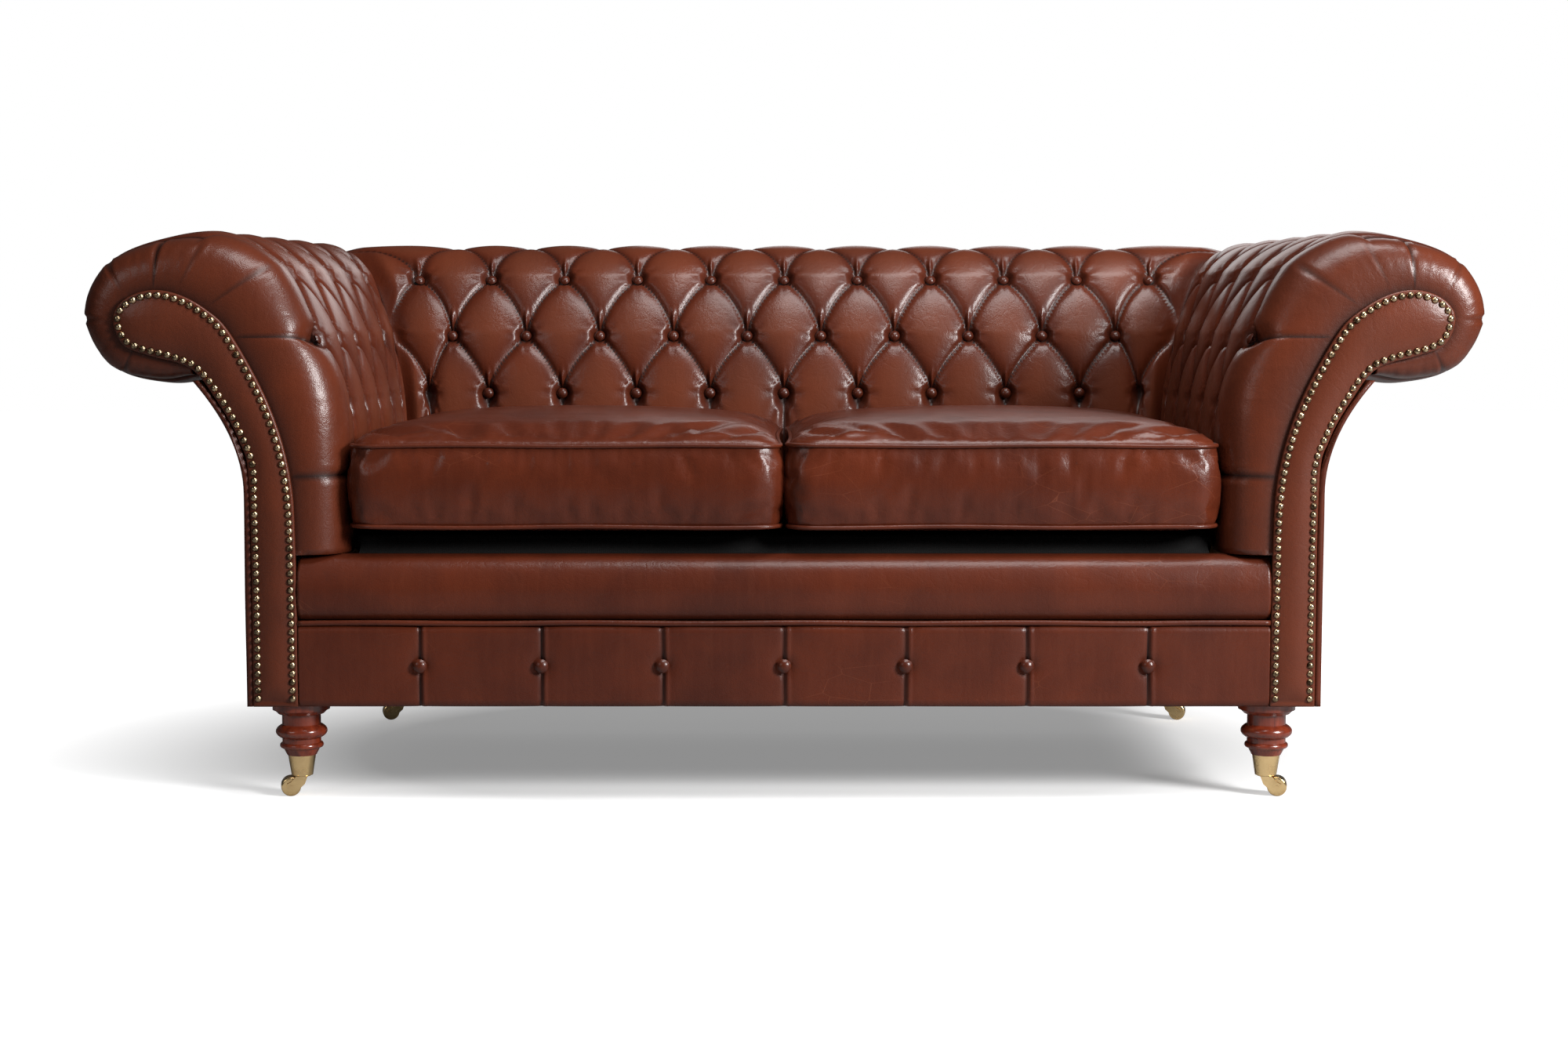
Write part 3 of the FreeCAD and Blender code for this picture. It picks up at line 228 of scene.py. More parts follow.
@lru_cache
def hide_grain() -> bpy.types.NodeTree:
    """Grain of a hide: fine pebbles, pores, and the soft mottling of its dye."""
    wires, start, end = shared_group("hide_grain", ("Pebble", "Mottle", "Streak", "Scuff", "Crease"))
    vector = start.outputs["Vector"]
    pebble = wires.add("ShaderNodeTexVoronoi", {"Vector": vector, "Scale": 620.0}).outputs["Distance"]
    broad = wires.noise(vector, 170.0, 4.0)
    mottle = wires.math("ADD", wires.math("MULTIPLY", wires.noise(vector, 3.2, 5.0, 0.6), 0.65),
                        wires.math("MULTIPLY", wires.noise(vector, 16.0, 4.0, 0.3), 0.35))
    streak = wires.noise(wires.stretched(vector, (1.0, 0.35, 0.09)), 130.0, 3.0, 0.4)
    warped = wires.stretched(vector, (0.6, 1.0, 1.3))
    cracks = wires.add("ShaderNodeTexVoronoi", {"Vector": warped, "Scale": 26.0, "Randomness": 1.0},
                       feature="DISTANCE_TO_EDGE").outputs["Distance"]
    line = wires.spread(cracks, 0.0, 0.012, 1.0, 0.0)
    patch = wires.spread(wires.noise(vector, 6.0, 2.0), 0.56, 0.66)
    swirl = wires.add("ShaderNodeTexNoise", {"Vector": vector, "Scale": 9.0, "Detail": 2.0}).outputs["Color"]
    bent = wires.add("ShaderNodeVectorMath", {0: swirl, 1: (0.05, 0.05, 0.05), 2: vector},
                     operation="MULTIPLY_ADD").outputs[0]
    soft = wires.noise(wires.stretched(bent, (1.0, 1.0, 0.45)), 75.0, 4.0, 0.5)
    ridged = wires.math("ABSOLUTE", wires.math("SUBTRACT", wires.noise(bent, 34.0, 3.0), 0.5))
    wires.feed(
        end,
        Pebble=wires.math("ADD", wires.math("MULTIPLY", pebble, 0.6), broad),
        Mottle=wires.spread(mottle, 0.36, 0.66),
        Streak=wires.spread(streak, 0.42, 0.7),
        Scuff=wires.math("MULTIPLY", line, patch),
        Crease=wires.math("ADD", wires.math("MULTIPLY", soft, 0.5), wires.spread(ridged, 0.0, 0.06)))
    return wires.tree


@lru_cache
def cloth_weave() -> bpy.types.NodeTree:
    """Plain weave of two crossing sets of threads, with a Thread height and uneven Dye."""
    wires, start, end = shared_group("cloth_weave", ("Thread", "Dye"))
    vector = start.outputs["Vector"]
    warp, weft = (
        wires.add("ShaderNodeTexWave", {"Vector": vector, "Scale": 90.0, "Distortion": 0.6},
                  bands_direction=direction).outputs["Fac"] for direction in ("X", "Y"))
    wires.feed(end, Thread=wires.math("MULTIPLY", warp, weft), Dye=wires.noise(vector, 35.0, 4.0))
    return wires.tree


@lru_cache
def timber_figure() -> bpy.types.NodeTree:
    """Long grain of a timber that runs along Z, with a Figure and fine Pores."""
    wires, start, end = shared_group("timber_figure", ("Figure", "Pores"))
    vector = start.outputs["Vector"]
    figure = wires.noise(wires.stretched(vector, (1.0, 1.0, 0.12)), 55.0, 5.0, 1.4)
    pores = wires.noise(wires.stretched(vector, (1.0, 1.0, 0.05)), 420.0, 2.0)
    wires.feed(end, Figure=wires.spread(figure, 0.33, 0.68), Pores=wires.spread(pores, 0.55, 0.75))
    return wires.tree


def material_wiring(name: str) -> tuple[bpy.types.Material, Wiring, bpy.types.Node, bpy.types.NodeSocket]:
    """A new material to be wired.

    Args:
        name: the material's name.

    Returns:
        The material, its wiring, its Principled shader and its Object coordinate socket.
    """
    material = bpy.data.materials.new(name)
    material.use_nodes = True
    wires = Wiring(material.node_tree)
    shader = material.node_tree.nodes["Principled BSDF"]
    coordinates = wires.add("ShaderNodeTexCoord").outputs["Object"]
    return material, wires, shader, coordinates


def set_shader(shader: bpy.types.Node, **constants: float) -> None:
    """Sets constants straight on a Principled shader's sockets.

    Args:
        shader: the shader.
        constants: a number for each socket's name, with underscores for its spaces.
    """
    for key, content in constants.items():
        shader.inputs[key.replace("_", " ")].default_value = content


@dataclass(frozen=True)
class Leather:
    """A waxed, hand-tinted hide that lightens where it is rubbed, and whose folds are darkened with painted
    shade.
    """

    name: str
    body: Colour = (0.09, 0.0168, 0.0063)
    deep: Colour = (0.048, 0.0082, 0.0031)
    rubbed: Colour = (0.185, 0.052, 0.024)
    # Colour of the painted shade in creases, button pits and seams.
    fold: Colour = (0.004, 0.001, 0.0005)
    roughness: float = 0.33
    coat: float = 0.15
    scuffs: float = 0.0
    creasing: float = 0.11
    crease_depth: float = 0.0009
    grain_depth: float = 0.00035
    streaking: float = 0.05
    rubbing: float = 0.3
    fold_roughness: float = 0.2
    coat_roughness: float = 0.2
    ior: float = 1.3

    def build(self) -> bpy.types.Material:
        """The material, which reads the point attributes fold, its painted shade, and crown."""
        material, wires, shader, place = material_wiring(self.name)
        grain = wires.add("ShaderNodeGroup", node_tree=hide_grain())
        wires.feed(grain, Vector=place)
        fold, crown = (wires.add("ShaderNodeAttribute", attribute_name=mark).outputs["Fac"]
                       for mark in ("fold", "crown"))
        rubbed = opaque(self.rubbed)
        colour = wires.mix(grain.outputs["Mottle"], opaque(self.deep), opaque(self.body))
        for mask, share in ((grain.outputs["Streak"], self.streaking), (crown, self.rubbing),
                            (grain.outputs["Scuff"], self.scuffs)):
            colour = wires.mix(wires.math("MULTIPLY", mask, share), colour, rubbed)
        # Painted shade: the fold mark darkens the colour in creases, button pits and seams.
        colour = wires.mix(fold, colour, opaque(self.fold))
        rough = wires.spread(grain.outputs["Mottle"], 0.0, 1.0, self.roughness + 0.06, self.roughness - 0.04)
        rough = wires.math("ADD", rough, wires.math("MULTIPLY", fold, self.fold_roughness))
        creased = wires.bump(self.creasing, self.crease_depth, grain.outputs["Crease"])
        bump = wires.bump(0.5, self.grain_depth, grain.outputs["Pebble"], Normal=creased)
        wires.feed(shader, Base_Color=colour, Roughness=rough, Normal=bump, Coat_Normal=bump)
        set_shader(shader, Coat_Weight=self.coat, Coat_Roughness=self.coat_roughness, IOR=self.ior)
        return material


@dataclass(frozen=True)
class Timber:
    """A timber with its figure, plain or polished."""

    name: str
    light: Colour
    dark: Colour
    roughness: float
    coat: float = 0.0
    along_x: bool = False
    pore_shade: float = 0.45

    def build(self) -> bpy.types.Material:
        """The material."""
        material, wires, shader, place = material_wiring(self.name)
        if self.along_x:
            turn = wires.add("ShaderNodeMapping", {"Vector": place, "Rotation": (0.0, math.pi / 2, 0.0)})
            place = turn.outputs[0]
        figure = wires.add("ShaderNodeGroup", node_tree=timber_figure())
        wires.feed(figure, Vector=place)
        grain = wires.mix(figure.outputs["Figure"], opaque(self.dark), opaque(self.light))
        pores = wires.math("MULTIPLY", figure.outputs["Pores"], 0.5)
        colour = wires.mix(pores, grain, opaque(tuple(c * self.pore_shade for c in self.dark)))
        rough = wires.spread(figure.outputs["Figure"], 0.0, 1.0, self.roughness + 0.07, self.roughness)
        bump = wires.bump(0.25, 0.0003, figure.outputs["Pores"])
        wires.feed(shader, Base_Color=colour, Roughness=rough, Normal=bump)
        set_shader(shader, Coat_Weight=self.coat, Coat_Roughness=0.12)
        return material


@dataclass(frozen=True)
class Metal:
    """A metal with tarnish in uneven patches."""

    name: str
    bright: Colour
    tarnish: Colour
    roughness: float
    patch_scale: float = 60.0
    tarnish_share: float = 0.5

    def build(self) -> bpy.types.Material:
        """The material."""
        material, wires, shader, place = material_wiring(self.name)
        patches = wires.spread(wires.noise(place, self.patch_scale, 4.0, 0.4), 0.38, 0.68)
        colour = wires.mix(wires.math("MULTIPLY", patches, self.tarnish_share), opaque(self.bright),
                           opaque(self.tarnish))
        rough = wires.spread(patches, 0.0, 1.0, self.roughness, self.roughness + 0.16)
        scratches = wires.noise(wires.stretched(place, (1.0, 1.0, 8.0)), 300.0, 2.0)
        wires.feed(shader, Base_Color=colour, Roughness=rough, Normal=wires.bump(0.12, 0.0002, scratches))
        set_shader(shader, Metallic=1.0)
        return material


@dataclass(frozen=True)
class Woven:
    """A woven cloth, webbing or hessian."""

    name: str
    thread: Colour
    shade: Colour
    roughness: float = 0.9
    coarseness: float = 1.0
    sheen: float = 0.15

    def build(self) -> bpy.types.Material:
        """The material."""
        material, wires, shader, place = material_wiring(self.name)
        weave = wires.add("ShaderNodeGroup", node_tree=cloth_weave())
        wires.feed(weave, Vector=wires.stretched(place, (1 / self.coarseness,) * 3))
        share = wires.math("ADD", wires.math("MULTIPLY", weave.outputs["Thread"], 0.7),
                           wires.math("MULTIPLY", weave.outputs["Dye"], 0.3))
        colour = wires.mix(share, opaque(self.shade), opaque(self.thread))
        bump = wires.bump(0.6, 0.0006 * self.coarseness, weave.outputs["Thread"])
        wires.feed(shader, Base_Color=colour, Normal=bump)
        set_shader(shader, Roughness=self.roughness, Sheen_Weight=self.sheen, Specular_IOR_Level=0.2)
        return material


@dataclass(frozen=True)
class Foam:
    """Open-celled seat foam."""

    name: str
    body: Colour = (0.62, 0.52, 0.34)
    cell: Colour = (0.42, 0.33, 0.19)

    def build(self) -> bpy.types.Material:
        """The material."""
        material, wires, shader, place = material_wiring(self.name)
        cells = wires.add("ShaderNodeTexVoronoi", {"Vector": place, "Scale": 480.0}).outputs["Distance"]
        colour = wires.mix(wires.spread(cells, 0.1, 0.7), opaque(self.cell), opaque(self.body))
        wires.feed(shader, Base_Color=colour, Normal=wires.bump(0.5, 0.0008, cells))
        set_shader(shader, Roughness=0.95)
        return material


Finish = Leather | Timber | Metal | Woven | Foam

SEAT_HIDE = Leather("seat_hide", scuffs=0.5, roughness=0.32)
PAD_HIDE = Leather("pad_hide", roughness=0.34, coat=0.2)
TRIM_HIDE = Leather("trim_hide", roughness=0.38)
RAIL_HIDE = Leather("rail_hide", scuffs=0.4, roughness=0.38)
BUTTON_HIDE = Leather("button_hide", (0.066, 0.0125, 0.005), (0.04, 0.007, 0.003), coat=0.25,
                      grain_depth=0.0002)
MAHOGANY = Timber("polished_mahogany", (0.21, 0.033, 0.012), (0.1, 0.013, 0.005), 0.2, 0.35)
BEECH = Timber("sawn_beech", (0.62, 0.42, 0.24), (0.42, 0.25, 0.13), 0.6, along_x=True)
CASTOR_BRASS = Metal("castor_brass", (1.0, 0.72, 0.36), (0.5, 0.31, 0.13), 0.17, 45.0, 0.35)
NAIL_BRASS = Metal("nail_brass", (0.52, 0.39, 0.24), (0.035, 0.02, 0.01), 0.2, 95.0, 0.96)
STEEL = Metal("spring_steel", (0.55, 0.55, 0.56), (0.22, 0.2, 0.19), 0.35, 40.0)
DUST_CLOTH = Woven("dust_cloth", (0.03, 0.03, 0.032), (0.008, 0.008, 0.009), coarseness=0.5, sheen=0.0)
# Near-black platform cloth, darker than the black dust cloth: partly its own colour, partly painted shade
# for the gap under the cushions.
DECK_CLOTH = Woven("deck_cloth", (0.009, 0.008, 0.008), (0.003, 0.003, 0.003), coarseness=0.8, sheen=0.0)
HESSIAN = Woven("hessian", (0.5, 0.36, 0.2), (0.2, 0.13, 0.06), coarseness=2.2)
WEBBING = Woven("webbing", (0.55, 0.47, 0.33), (0.18, 0.13, 0.08), coarseness=1.5)
FOAM = Foam("seat_foam")


@lru_cache
def material_of(finish: Finish) -> bpy.types.Material:
    """The finish's material, built once."""
    return finish.build()


# Making pieces


def placed(name: str, data: bpy.types.ID) -> bpy.types.Object:
    """A new object of the scene, with the data given."""
    thing = bpy.data.objects.new(name, data)
    bpy.context.scene.collection.objects.link(thing)
    return thing


def mesh_of(name: str, shape: bmesh.types.BMesh) -> bpy.types.Mesh:
    """A mesh with a bmesh's shape, which is used up."""
    mesh = bpy.data.meshes.new(name)
    shape.to_mesh(mesh)
    shape.free()
    return mesh


def evaluated_mesh(thing: bpy.types.Object) -> bpy.types.Mesh:
    """A copy of an object's mesh as its modifiers leave it."""
    return bpy.data.meshes.new_from_object(thing.evaluated_get(bpy.context.evaluated_depsgraph_get()))


def smooth_faces(shape: bmesh.types.BMesh) -> None:
    """Shades every face smooth."""
    for face in shape.faces:
        face.smooth = True


def seat_piece(name: str, shape: bmesh.types.BMesh | bpy.types.Mesh, finish: Finish,
               body: str = CARCASS, stands_for: Sequence[str] = ()) -> bpy.types.Object:
    """Makes a finished object of a shape and puts it on its body.

    Args:
        name: the piece's name.
        shape: its mesh, or a bmesh that is used up.
        finish: what it is covered with or made of.
        body: the body it rides on.
        stands_for: the nodes that it replaces.

    Returns:
        The new object.
    """
    mesh = mesh_of(name, shape) if isinstance(shape, bmesh.types.BMesh) else shape
    mesh.name = name
    piece = placed(name, mesh)
    mesh.materials.clear()
    mesh.materials.append(material_of(finish))
    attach(piece, body)
    if stands_for:
        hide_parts(*stands_for)
    log.info("%s: %d faces", name, len(mesh.polygons))
    return piece


def thicken(piece: bpy.types.Object, thickness: float) -> None:
    """Gives a sheet its thickness, half to each side."""
    solid = piece.modifiers.new("thickness", "SOLIDIFY")
    solid.thickness, solid.offset = thickness, 0.0


def grid_of(x: np.ndarray, y: np.ndarray, z: np.ndarray) -> np.ndarray:
    """Points whose coordinates are spread over each other's shape.

    Args:
        x: their X, of a shape that goes with the others.
        y: their Y.
        z: their Z.

    Returns:
        The points, with the three coordinates along the last axis.
    """
    return np.stack(np.broadcast_arrays(x, y, z), axis=-1)


def sheet_of_quads(columns: int, rows: int) -> tuple[bmesh.types.BMesh, np.ndarray, np.ndarray]:
    """A grid of quads with the column and row number of each vertex.

    Args:
        columns: number of vertex columns.
        rows: number of vertex rows.

    Returns:
        The bmesh, each vertex's column number and its row number.
    """
    sheet = bmesh.new()
    bmesh.ops.create_grid(sheet, x_segments=columns - 1, y_segments=rows - 1, size=1.0)
    sheet.verts.ensure_lookup_table()
    flat = np.array([v.co[:2] for v in sheet.verts])
    column = np.rint((flat[:, 0] + 1) / 2 * (columns - 1)).astype(int)
    row = np.rint((flat[:, 1] + 1) / 2 * (rows - 1)).astype(int)
    return sheet, column, row


def loft(points: np.ndarray, fold: np.ndarray | None = None, crown: np.ndarray | None = None,
         slant: np.ndarray | None = None, capped: bool = True) -> bmesh.types.BMesh:
    """A closed skin through rows of section points.

    Args:
        points: (sections, points, 3) with each section's points in order round it, not repeated.
        fold: depth of shadow in the folds, 0 to 1, for each point.
        crown: how rubbed each point is, 0 to 1.
        slant: (sections, points) array, true where the quad after that point splits the other way.
        capped: closes the first and last section.

    Returns:
        The bmesh, with its marks stored as point attributes.
    """
    closed = np.concatenate([points, points[:, :1]], axis=1)
    sections, around = closed.shape[:2]
    skin, column, row = sheet_of_quads(sections, around)
    wrapped = row % (around - 1)
    if slant is not None:
        corner = np.array([[column[v.index] for v in f.verts] for f in skin.faces]).min(axis=1)
        level = np.array([[row[v.index] for v in f.verts] for f in skin.faces]).min(axis=1)
        other = slant[corner, level]
        faces = list(skin.faces)
        for method, chosen in (("FIXED", False), ("ALTERNATE", True)):
            batch = [face for face, way in zip(faces, other) if bool(way) == chosen]
            bmesh.ops.triangulate(skin, faces=batch, quad_method=method)
    for index, vertex in enumerate(skin.verts):
        vertex.co = closed[column[index], row[index]]
    for name, marks in (("fold", fold), ("crown", crown)):
        if marks is not None:
            layer = skin.verts.layers.float.new(name)
            for index, vertex in enumerate(skin.verts):
                vertex[layer] = float(marks[column[index], wrapped[index]])
    bmesh.ops.remove_doubles(skin, verts=skin.verts, dist=1e-5)
    if capped:
        rims = [e for e in skin.edges if e.is_boundary]
        bmesh.ops.holes_fill(skin, edges=rims, sides=0)
    bmesh.ops.recalc_face_normals(skin, faces=skin.faces)
    smooth_faces(skin)
    return skin


def tube_along(path: np.ndarray, radius: float, closed: bool, around: int = 10) -> bmesh.types.BMesh:
    """A round cord of constant radius that follows a path.

    Args:
        path: (points, 3) line of its centre.
        radius: its radius.
        closed: joins its end to its start.
        around: points round the cord.

    Returns:
        The bmesh.
    """
    ahead = np.roll(path, -1, axis=0) - np.roll(path, 1, axis=0)
    if not closed:
        ahead[0], ahead[-1] = path[1] - path[0], path[-1] - path[-2]
    ahead /= np.linalg.norm(ahead, axis=1)[:, None]
    reference = np.array([0.0, 0.0, 1.0]) if abs(ahead[:, 2]).max() < 0.9 else np.array([0.0, 1.0, 0.0])
    across = np.cross(ahead, reference)
    across /= np.linalg.norm(across, axis=1)[:, None]
    upward = np.cross(across, ahead)
    turns = np.arange(around) / around * 2 * np.pi
    ring = across[:, None] * np.cos(turns)[None, :, None] + upward[:, None] * np.sin(turns)[None, :, None]
    points = path[:, None] + ring * radius
    if closed:
        points = np.concatenate([points, points[:1]])
    return loft(points, capped=not closed)


def curve_points(controls: Outline, where: np.ndarray) -> np.ndarray:
    """Points on the smooth curve through some points.

    Args:
        controls: the points that it passes through.
        where: places along it, counted in control points.

    Returns:
        (places, 2) array.
    """
    p = np.asarray(controls, float)
    longer = np.vstack([2 * p[0] - p[1], p, 2 * p[-1] - p[-2]])
    start = np.clip(np.floor(where).astype(int), 0, len(p) - 2)
    t = (where - start)[:, None]
    a, b, c, d = (longer[start + i] for i in range(4))
    square, cube = 2 * a - 5 * b + 4 * c - d, 3 * b - a - 3 * c + d
    return 0.5 * (2 * b + (c - a) * t + square * t ** 2 + cube * t ** 3)


def outward(section: np.ndarray) -> np.ndarray:
    """Unit normals of an open section that runs up and over, as (offset, height)."""
    along = np.gradient(section, axis=0)
    normals = np.stack([-along[:, 1], along[:, 0]], axis=1)
    return normals / np.linalg.norm(normals, axis=1)[:, None]


def smooth_step(x: np.ndarray, low: float, high: float) -> np.ndarray:
    """A smooth rise from 0 to 1.

    Args:
        x: where it is read.
        low: where it starts to rise.
        high: where it reaches 1.

    Returns:
        An array like x.
    """
    t = np.clip((np.asarray(x, float) - low) / (high - low), 0.0, 1.0)
    return t * t * (3 - 2 * t)


def bell(x: np.ndarray, width: float) -> np.ndarray:
    """A bell curve, 1 at 0 and 0.37 at its width."""
    return np.exp(-(x / width) ** 2)


def run_along(line: np.ndarray) -> np.ndarray:
    """Length along a line of points at each of them."""
    return np.concatenate([[0.0], np.cumsum(np.linalg.norm(np.diff(line, axis=0), axis=1))])


def ripple(points: np.ndarray, scale: float, seed: float) -> np.ndarray:
    """Smooth noise from -1 to 1 at each point.

    Args:
        points: array of points, with the coordinates along its last axis.
        scale: waves per metre.
        seed: picks the pattern.

    Returns:
        An array of the points' shape.
    """
    flat = points.reshape(-1, 3)
    shift = Vector((seed, seed * 0.7, seed * 1.3))
    found = np.array([noise.noise(Vector(p) * scale + shift) for p in flat])
    return found.reshape(points.shape[:-1])


# Tufted pads of the back and the arms


@dataclass(frozen=True)
class Levels:
    """Heights and planes that the pads, facings and panels share, the same as the solids have."""

    arm_face: float = 0.611
    back_face: float = 0.1688
    facing_plane: float = -0.4542
    board_front: float = -0.4462
    frame_bottom: float = 0.133
    pad_floor: float = 0.345
    ridge: float = 0.794
    row_heights: tuple[float, float, float] = (0.746, 0.650, 0.554)
    back_depth: float = 0.290
    back_ridge: float = 0.122
    arm_spread: float = 0.372
    arm_ridge: float = 0.178
    facing_inner: float = 0.066
    facing_outer: float = 0.128
    facing_tip: float = 0.313

    def back_profile(self) -> Outline:
        """Crest line of the back pad as (offset, height), foot to tuck."""
        ridge, far, top = self.ridge, self.back_depth, self.back_ridge
        high, middle, low = self.row_heights
        return [
            (0.0, self.pad_floor), (0.0, self.pad_floor + 0.110), (0.004, low), (0.022, middle),
            (0.062, high), (top, ridge), (top + 0.078, ridge - 0.011), (far - 0.028, ridge - 0.056),
            (far, ridge - 0.118), (far - 0.028, ridge - 0.187), (far - 0.080, ridge - 0.212),
            (far - 0.125, ridge - 0.203)]

    def arm_profile(self) -> Outline:
        """Crest line of the arm pad behind its rounded front."""
        ridge, far, top = self.ridge, self.arm_spread, self.arm_ridge
        high, middle, low = self.row_heights
        return [
            (0.0, self.pad_floor), (0.0, self.pad_floor + 0.110), (0.002, low), (0.031, middle),
            (0.092, high), (top, ridge), (top + 0.084, ridge - 0.006), (far - 0.032, ridge - 0.040),
            (far, ridge - 0.114), (far - 0.036, ridge - 0.191), (far - 0.107, ridge - 0.213),
            (far - 0.166, ridge - 0.205)]

    def facing_ring(self) -> Outline:
        """Edge of the scroll facing, point for point beside the arm's crest line."""
        ridge, inner, tip = self.ridge, self.facing_inner, self.facing_tip
        return [
            (inner + 0.001, self.pad_floor), (inner + 0.007, self.pad_floor + 0.110),
            (inner + 0.035, ridge - 0.240), (inner + 0.086, ridge - 0.143), (tip - 0.126, ridge - 0.108),
            (tip - 0.088, ridge - 0.088), (tip - 0.051, ridge - 0.083), (tip - 0.016, ridge - 0.096),
            (tip, ridge - 0.122), (tip - 0.014, ridge - 0.158), (tip - 0.051, ridge - 0.173),
            (tip - 0.106, ridge - 0.190)]

    def back_lining(self) -> Outline:
        """Timber side of the back pad from its tuck to its foot."""
        return [
            (0.165, 0.632), (0.190, 0.634), (0.215, 0.636), (0.215, 0.660), (0.215, 0.684), (0.160, 0.684),
            (0.105, 0.684), (0.0885, 0.667), (0.072, 0.650), (0.062, 0.560), (0.060, self.pad_floor)]

    def arm_lining(self) -> Outline:
        """Timber side of an arm pad behind its front board."""
        ridge, far = self.ridge, self.arm_spread
        return [
            (far - 0.112, ridge - 0.182), (far - 0.074, ridge - 0.172), (far - 0.046, ridge - 0.132),
            (far - 0.056, ridge - 0.092), (far - 0.092, ridge - 0.076), (far - 0.150, ridge - 0.080),
            (far - 0.192, ridge - 0.094), (far - 0.240, ridge - 0.150), (far - 0.272, ridge - 0.210),
            (0.070, ridge - 0.330), (0.066, self.pad_floor)]


LEVELS = Levels()
TINY = 1e-9
SCATTER = (0.6180339, 0.7548776)


@dataclass(frozen=True)
class Tufting:
    """Diamond buttoning: pleats that arch from each button down to its two neighbours below.

    Columns are counted in half pitches and rows in button rows, of which the lowest is last_row. Widths
    and depths are in metres.
    """

    half_pitch: float = 0.0605
    row_pitch: float = 0.097
    steps: int = 18
    foot_rows: int = 26
    roll_rows: int = 92
    depth: float = 0.022
    roll_depth: float = 0.008
    ridge_depth: float = 0.0145
    foot_depth: float = 0.007
    pleat_rise: float = 0.0105
    pleat_roundness: float = 0.75
    arch: float = 1.55
    roll_start: float = 5.2
    tuck: float = 11.0
    last_row: int = 3
    dome_share: float = 0.52
    dome_edge: float = 0.0042
    fold_shade_width: float = 0.0012
    straight_shade: float = 0.85
    pit_edge: tuple[float, float] = (0.004, 0.019)
    pit_width: float = 0.0105
    pit_shade: float = 0.9
    gathers: int = 9
    gather_depth: float = 0.0014
    gather_ring: float = 0.02
    gather_width: float = 0.011
    strain_depth: float = 0.0017
    strain_pitch: float = 0.0105
    strain_width: float = 0.013
    strain_start: tuple[float, float] = (0.06, 0.16)
    strain_end: tuple[float, float] = (0.2, 0.5)
    crown_depth: float = 0.006
    crown_end: float = -0.6
    corner_fade: float = 0.42
    corner_shade_width: float = 0.08
    corner_shade: float = 0.8

    def rows(self) -> tuple[np.ndarray, np.ndarray]:
        """Where the mesh rows lie.

        Returns:
            The place of each row along the crest line, in its control points, and its button row
            number, which falls from 4 at the foot over 3, 2 and 1 at the buttons to 0 behind the ridge.
        """
        share = np.arange(self.steps) / self.steps
        foot = np.arange(self.foot_rows) / self.foot_rows
        roll = np.linspace(0.0, 1.0, self.roll_rows)
        lift = self.roll_start - 4.0
        over = roll * (self.tuck - self.roll_start)
        places = [foot * 2.0, 2.0 + share, 3.0 + share, 4.0 + lift * share, self.roll_start + over]
        levels = [4.0 - foot, 3.0 - share, 2.0 - share, 1.0 - share, -over]
        return np.concatenate(places), np.concatenate(levels)

    def columns(self, cells: int) -> np.ndarray:
        """Column numbers over a count of cells, each half a pitch wide, with steps columns in each."""
        return np.arange(cells * self.steps + 1) / self.steps

    def relief(self, column: np.ndarray, level: np.ndarray,
               parity: Callable[[int], int]) -> tuple[np.ndarray, np.ndarray, np.ndarray, np.ndarray]:
        """The tufted surface over a grid of columns and rows.

        Args:
            column: column numbers, in half pitches.
            level: row numbers.
            parity: 0 where a button row has its buttons on even columns, 1 where on odd ones.

        Returns:
            Arrays (columns, rows) of the shifted column numbers, the height over the crest line
            (negative), the painted shade mark of the pleats and button pits, and which way each quad splits.
        """
        c, v = np.meshgrid(column, level, indexing="ij")
        below = v > self.last_row - TINY
        banded = (v >= 0) & ~below
        upper = np.where(below, self.last_row, np.clip(np.floor(v + TINY), 0, 2).astype(int))
        odd = np.vectorize(parity)(upper)
        down = np.clip(v - upper, 0.0, 1.0)
        across = self.aside(c, odd)
        reach = np.where(banded, 1 - (1 - down) ** self.arch, 0.0)
        safe_down = np.clip(down, 1e-6, 1 - 1e-6)
        shifted = np.where(across <= down, reach * across / safe_down,
                           reach + (1 - reach) * (across - down) / (1 - safe_down))
        shifted = np.where(banded, shifted, across)
        outward_way = np.where(np.mod(c - odd + 1, 2) >= 1, 1.0, -1.0)
        moved = c + (shifted - across) * outward_way
        width = np.where(shifted < reach, reach, 1 - reach)
        near = np.clip(np.abs(shifted - reach) / np.maximum(width, 1e-6), 0.0, 1.0)
        spread = np.abs(shifted - reach) * self.half_pitch
        edge = 1 - np.exp(-spread / self.dome_edge)
        dome = self.dome_share * near * (2 - near) + (1 - self.dome_share) * edge
        depth = self.depth_at(v)
        rise = np.where(banded, self.pleat_rise * np.sin(np.pi * down) ** self.pleat_roundness, 0.0)
        height = -depth + rise + (depth - rise) * width ** 0.5 * dome
        # Painted shade along each pleat line, weaker outside the buttoned rows.
        fold = np.exp(-spread / self.fold_shade_width) * np.where(banded, 1.0, self.straight_shade)
        for row in range(1, self.last_row + 1):
            aside = np.where(banded | below, self.aside(moved, parity(row)), self.aside(c, parity(row)))
            sideways, upright = aside * self.half_pitch, (v - row) * self.row_pitch
            away = np.hypot(sideways, upright)
            height = -self.depth + (height + self.depth) * smooth_step(away, *self.pit_edge)
            pull = bell(away - self.gather_ring, self.gather_width)
            turn = np.arctan2(upright, sideways)
            height = height + self.gather_depth * np.cos(self.gathers * turn + row) * pull
            above = smooth_step(row - v, *self.strain_start) * (1 - smooth_step(row - v, *self.strain_end))
            wave = np.cos(2 * np.pi * sideways / self.strain_pitch)
            strain = wave * bell(sideways, self.strain_width)
            height = height + self.strain_depth * strain * above * np.where(banded, 1.0, 0.0)
            # Painted shade in each button pit.
            fold = np.maximum(fold, self.pit_shade * bell(away, self.pit_width))
        slant = (np.floor(c + TINY).astype(int) + odd) % 2 == 1
        return moved, height, np.clip(fold, 0.0, 1.0), slant

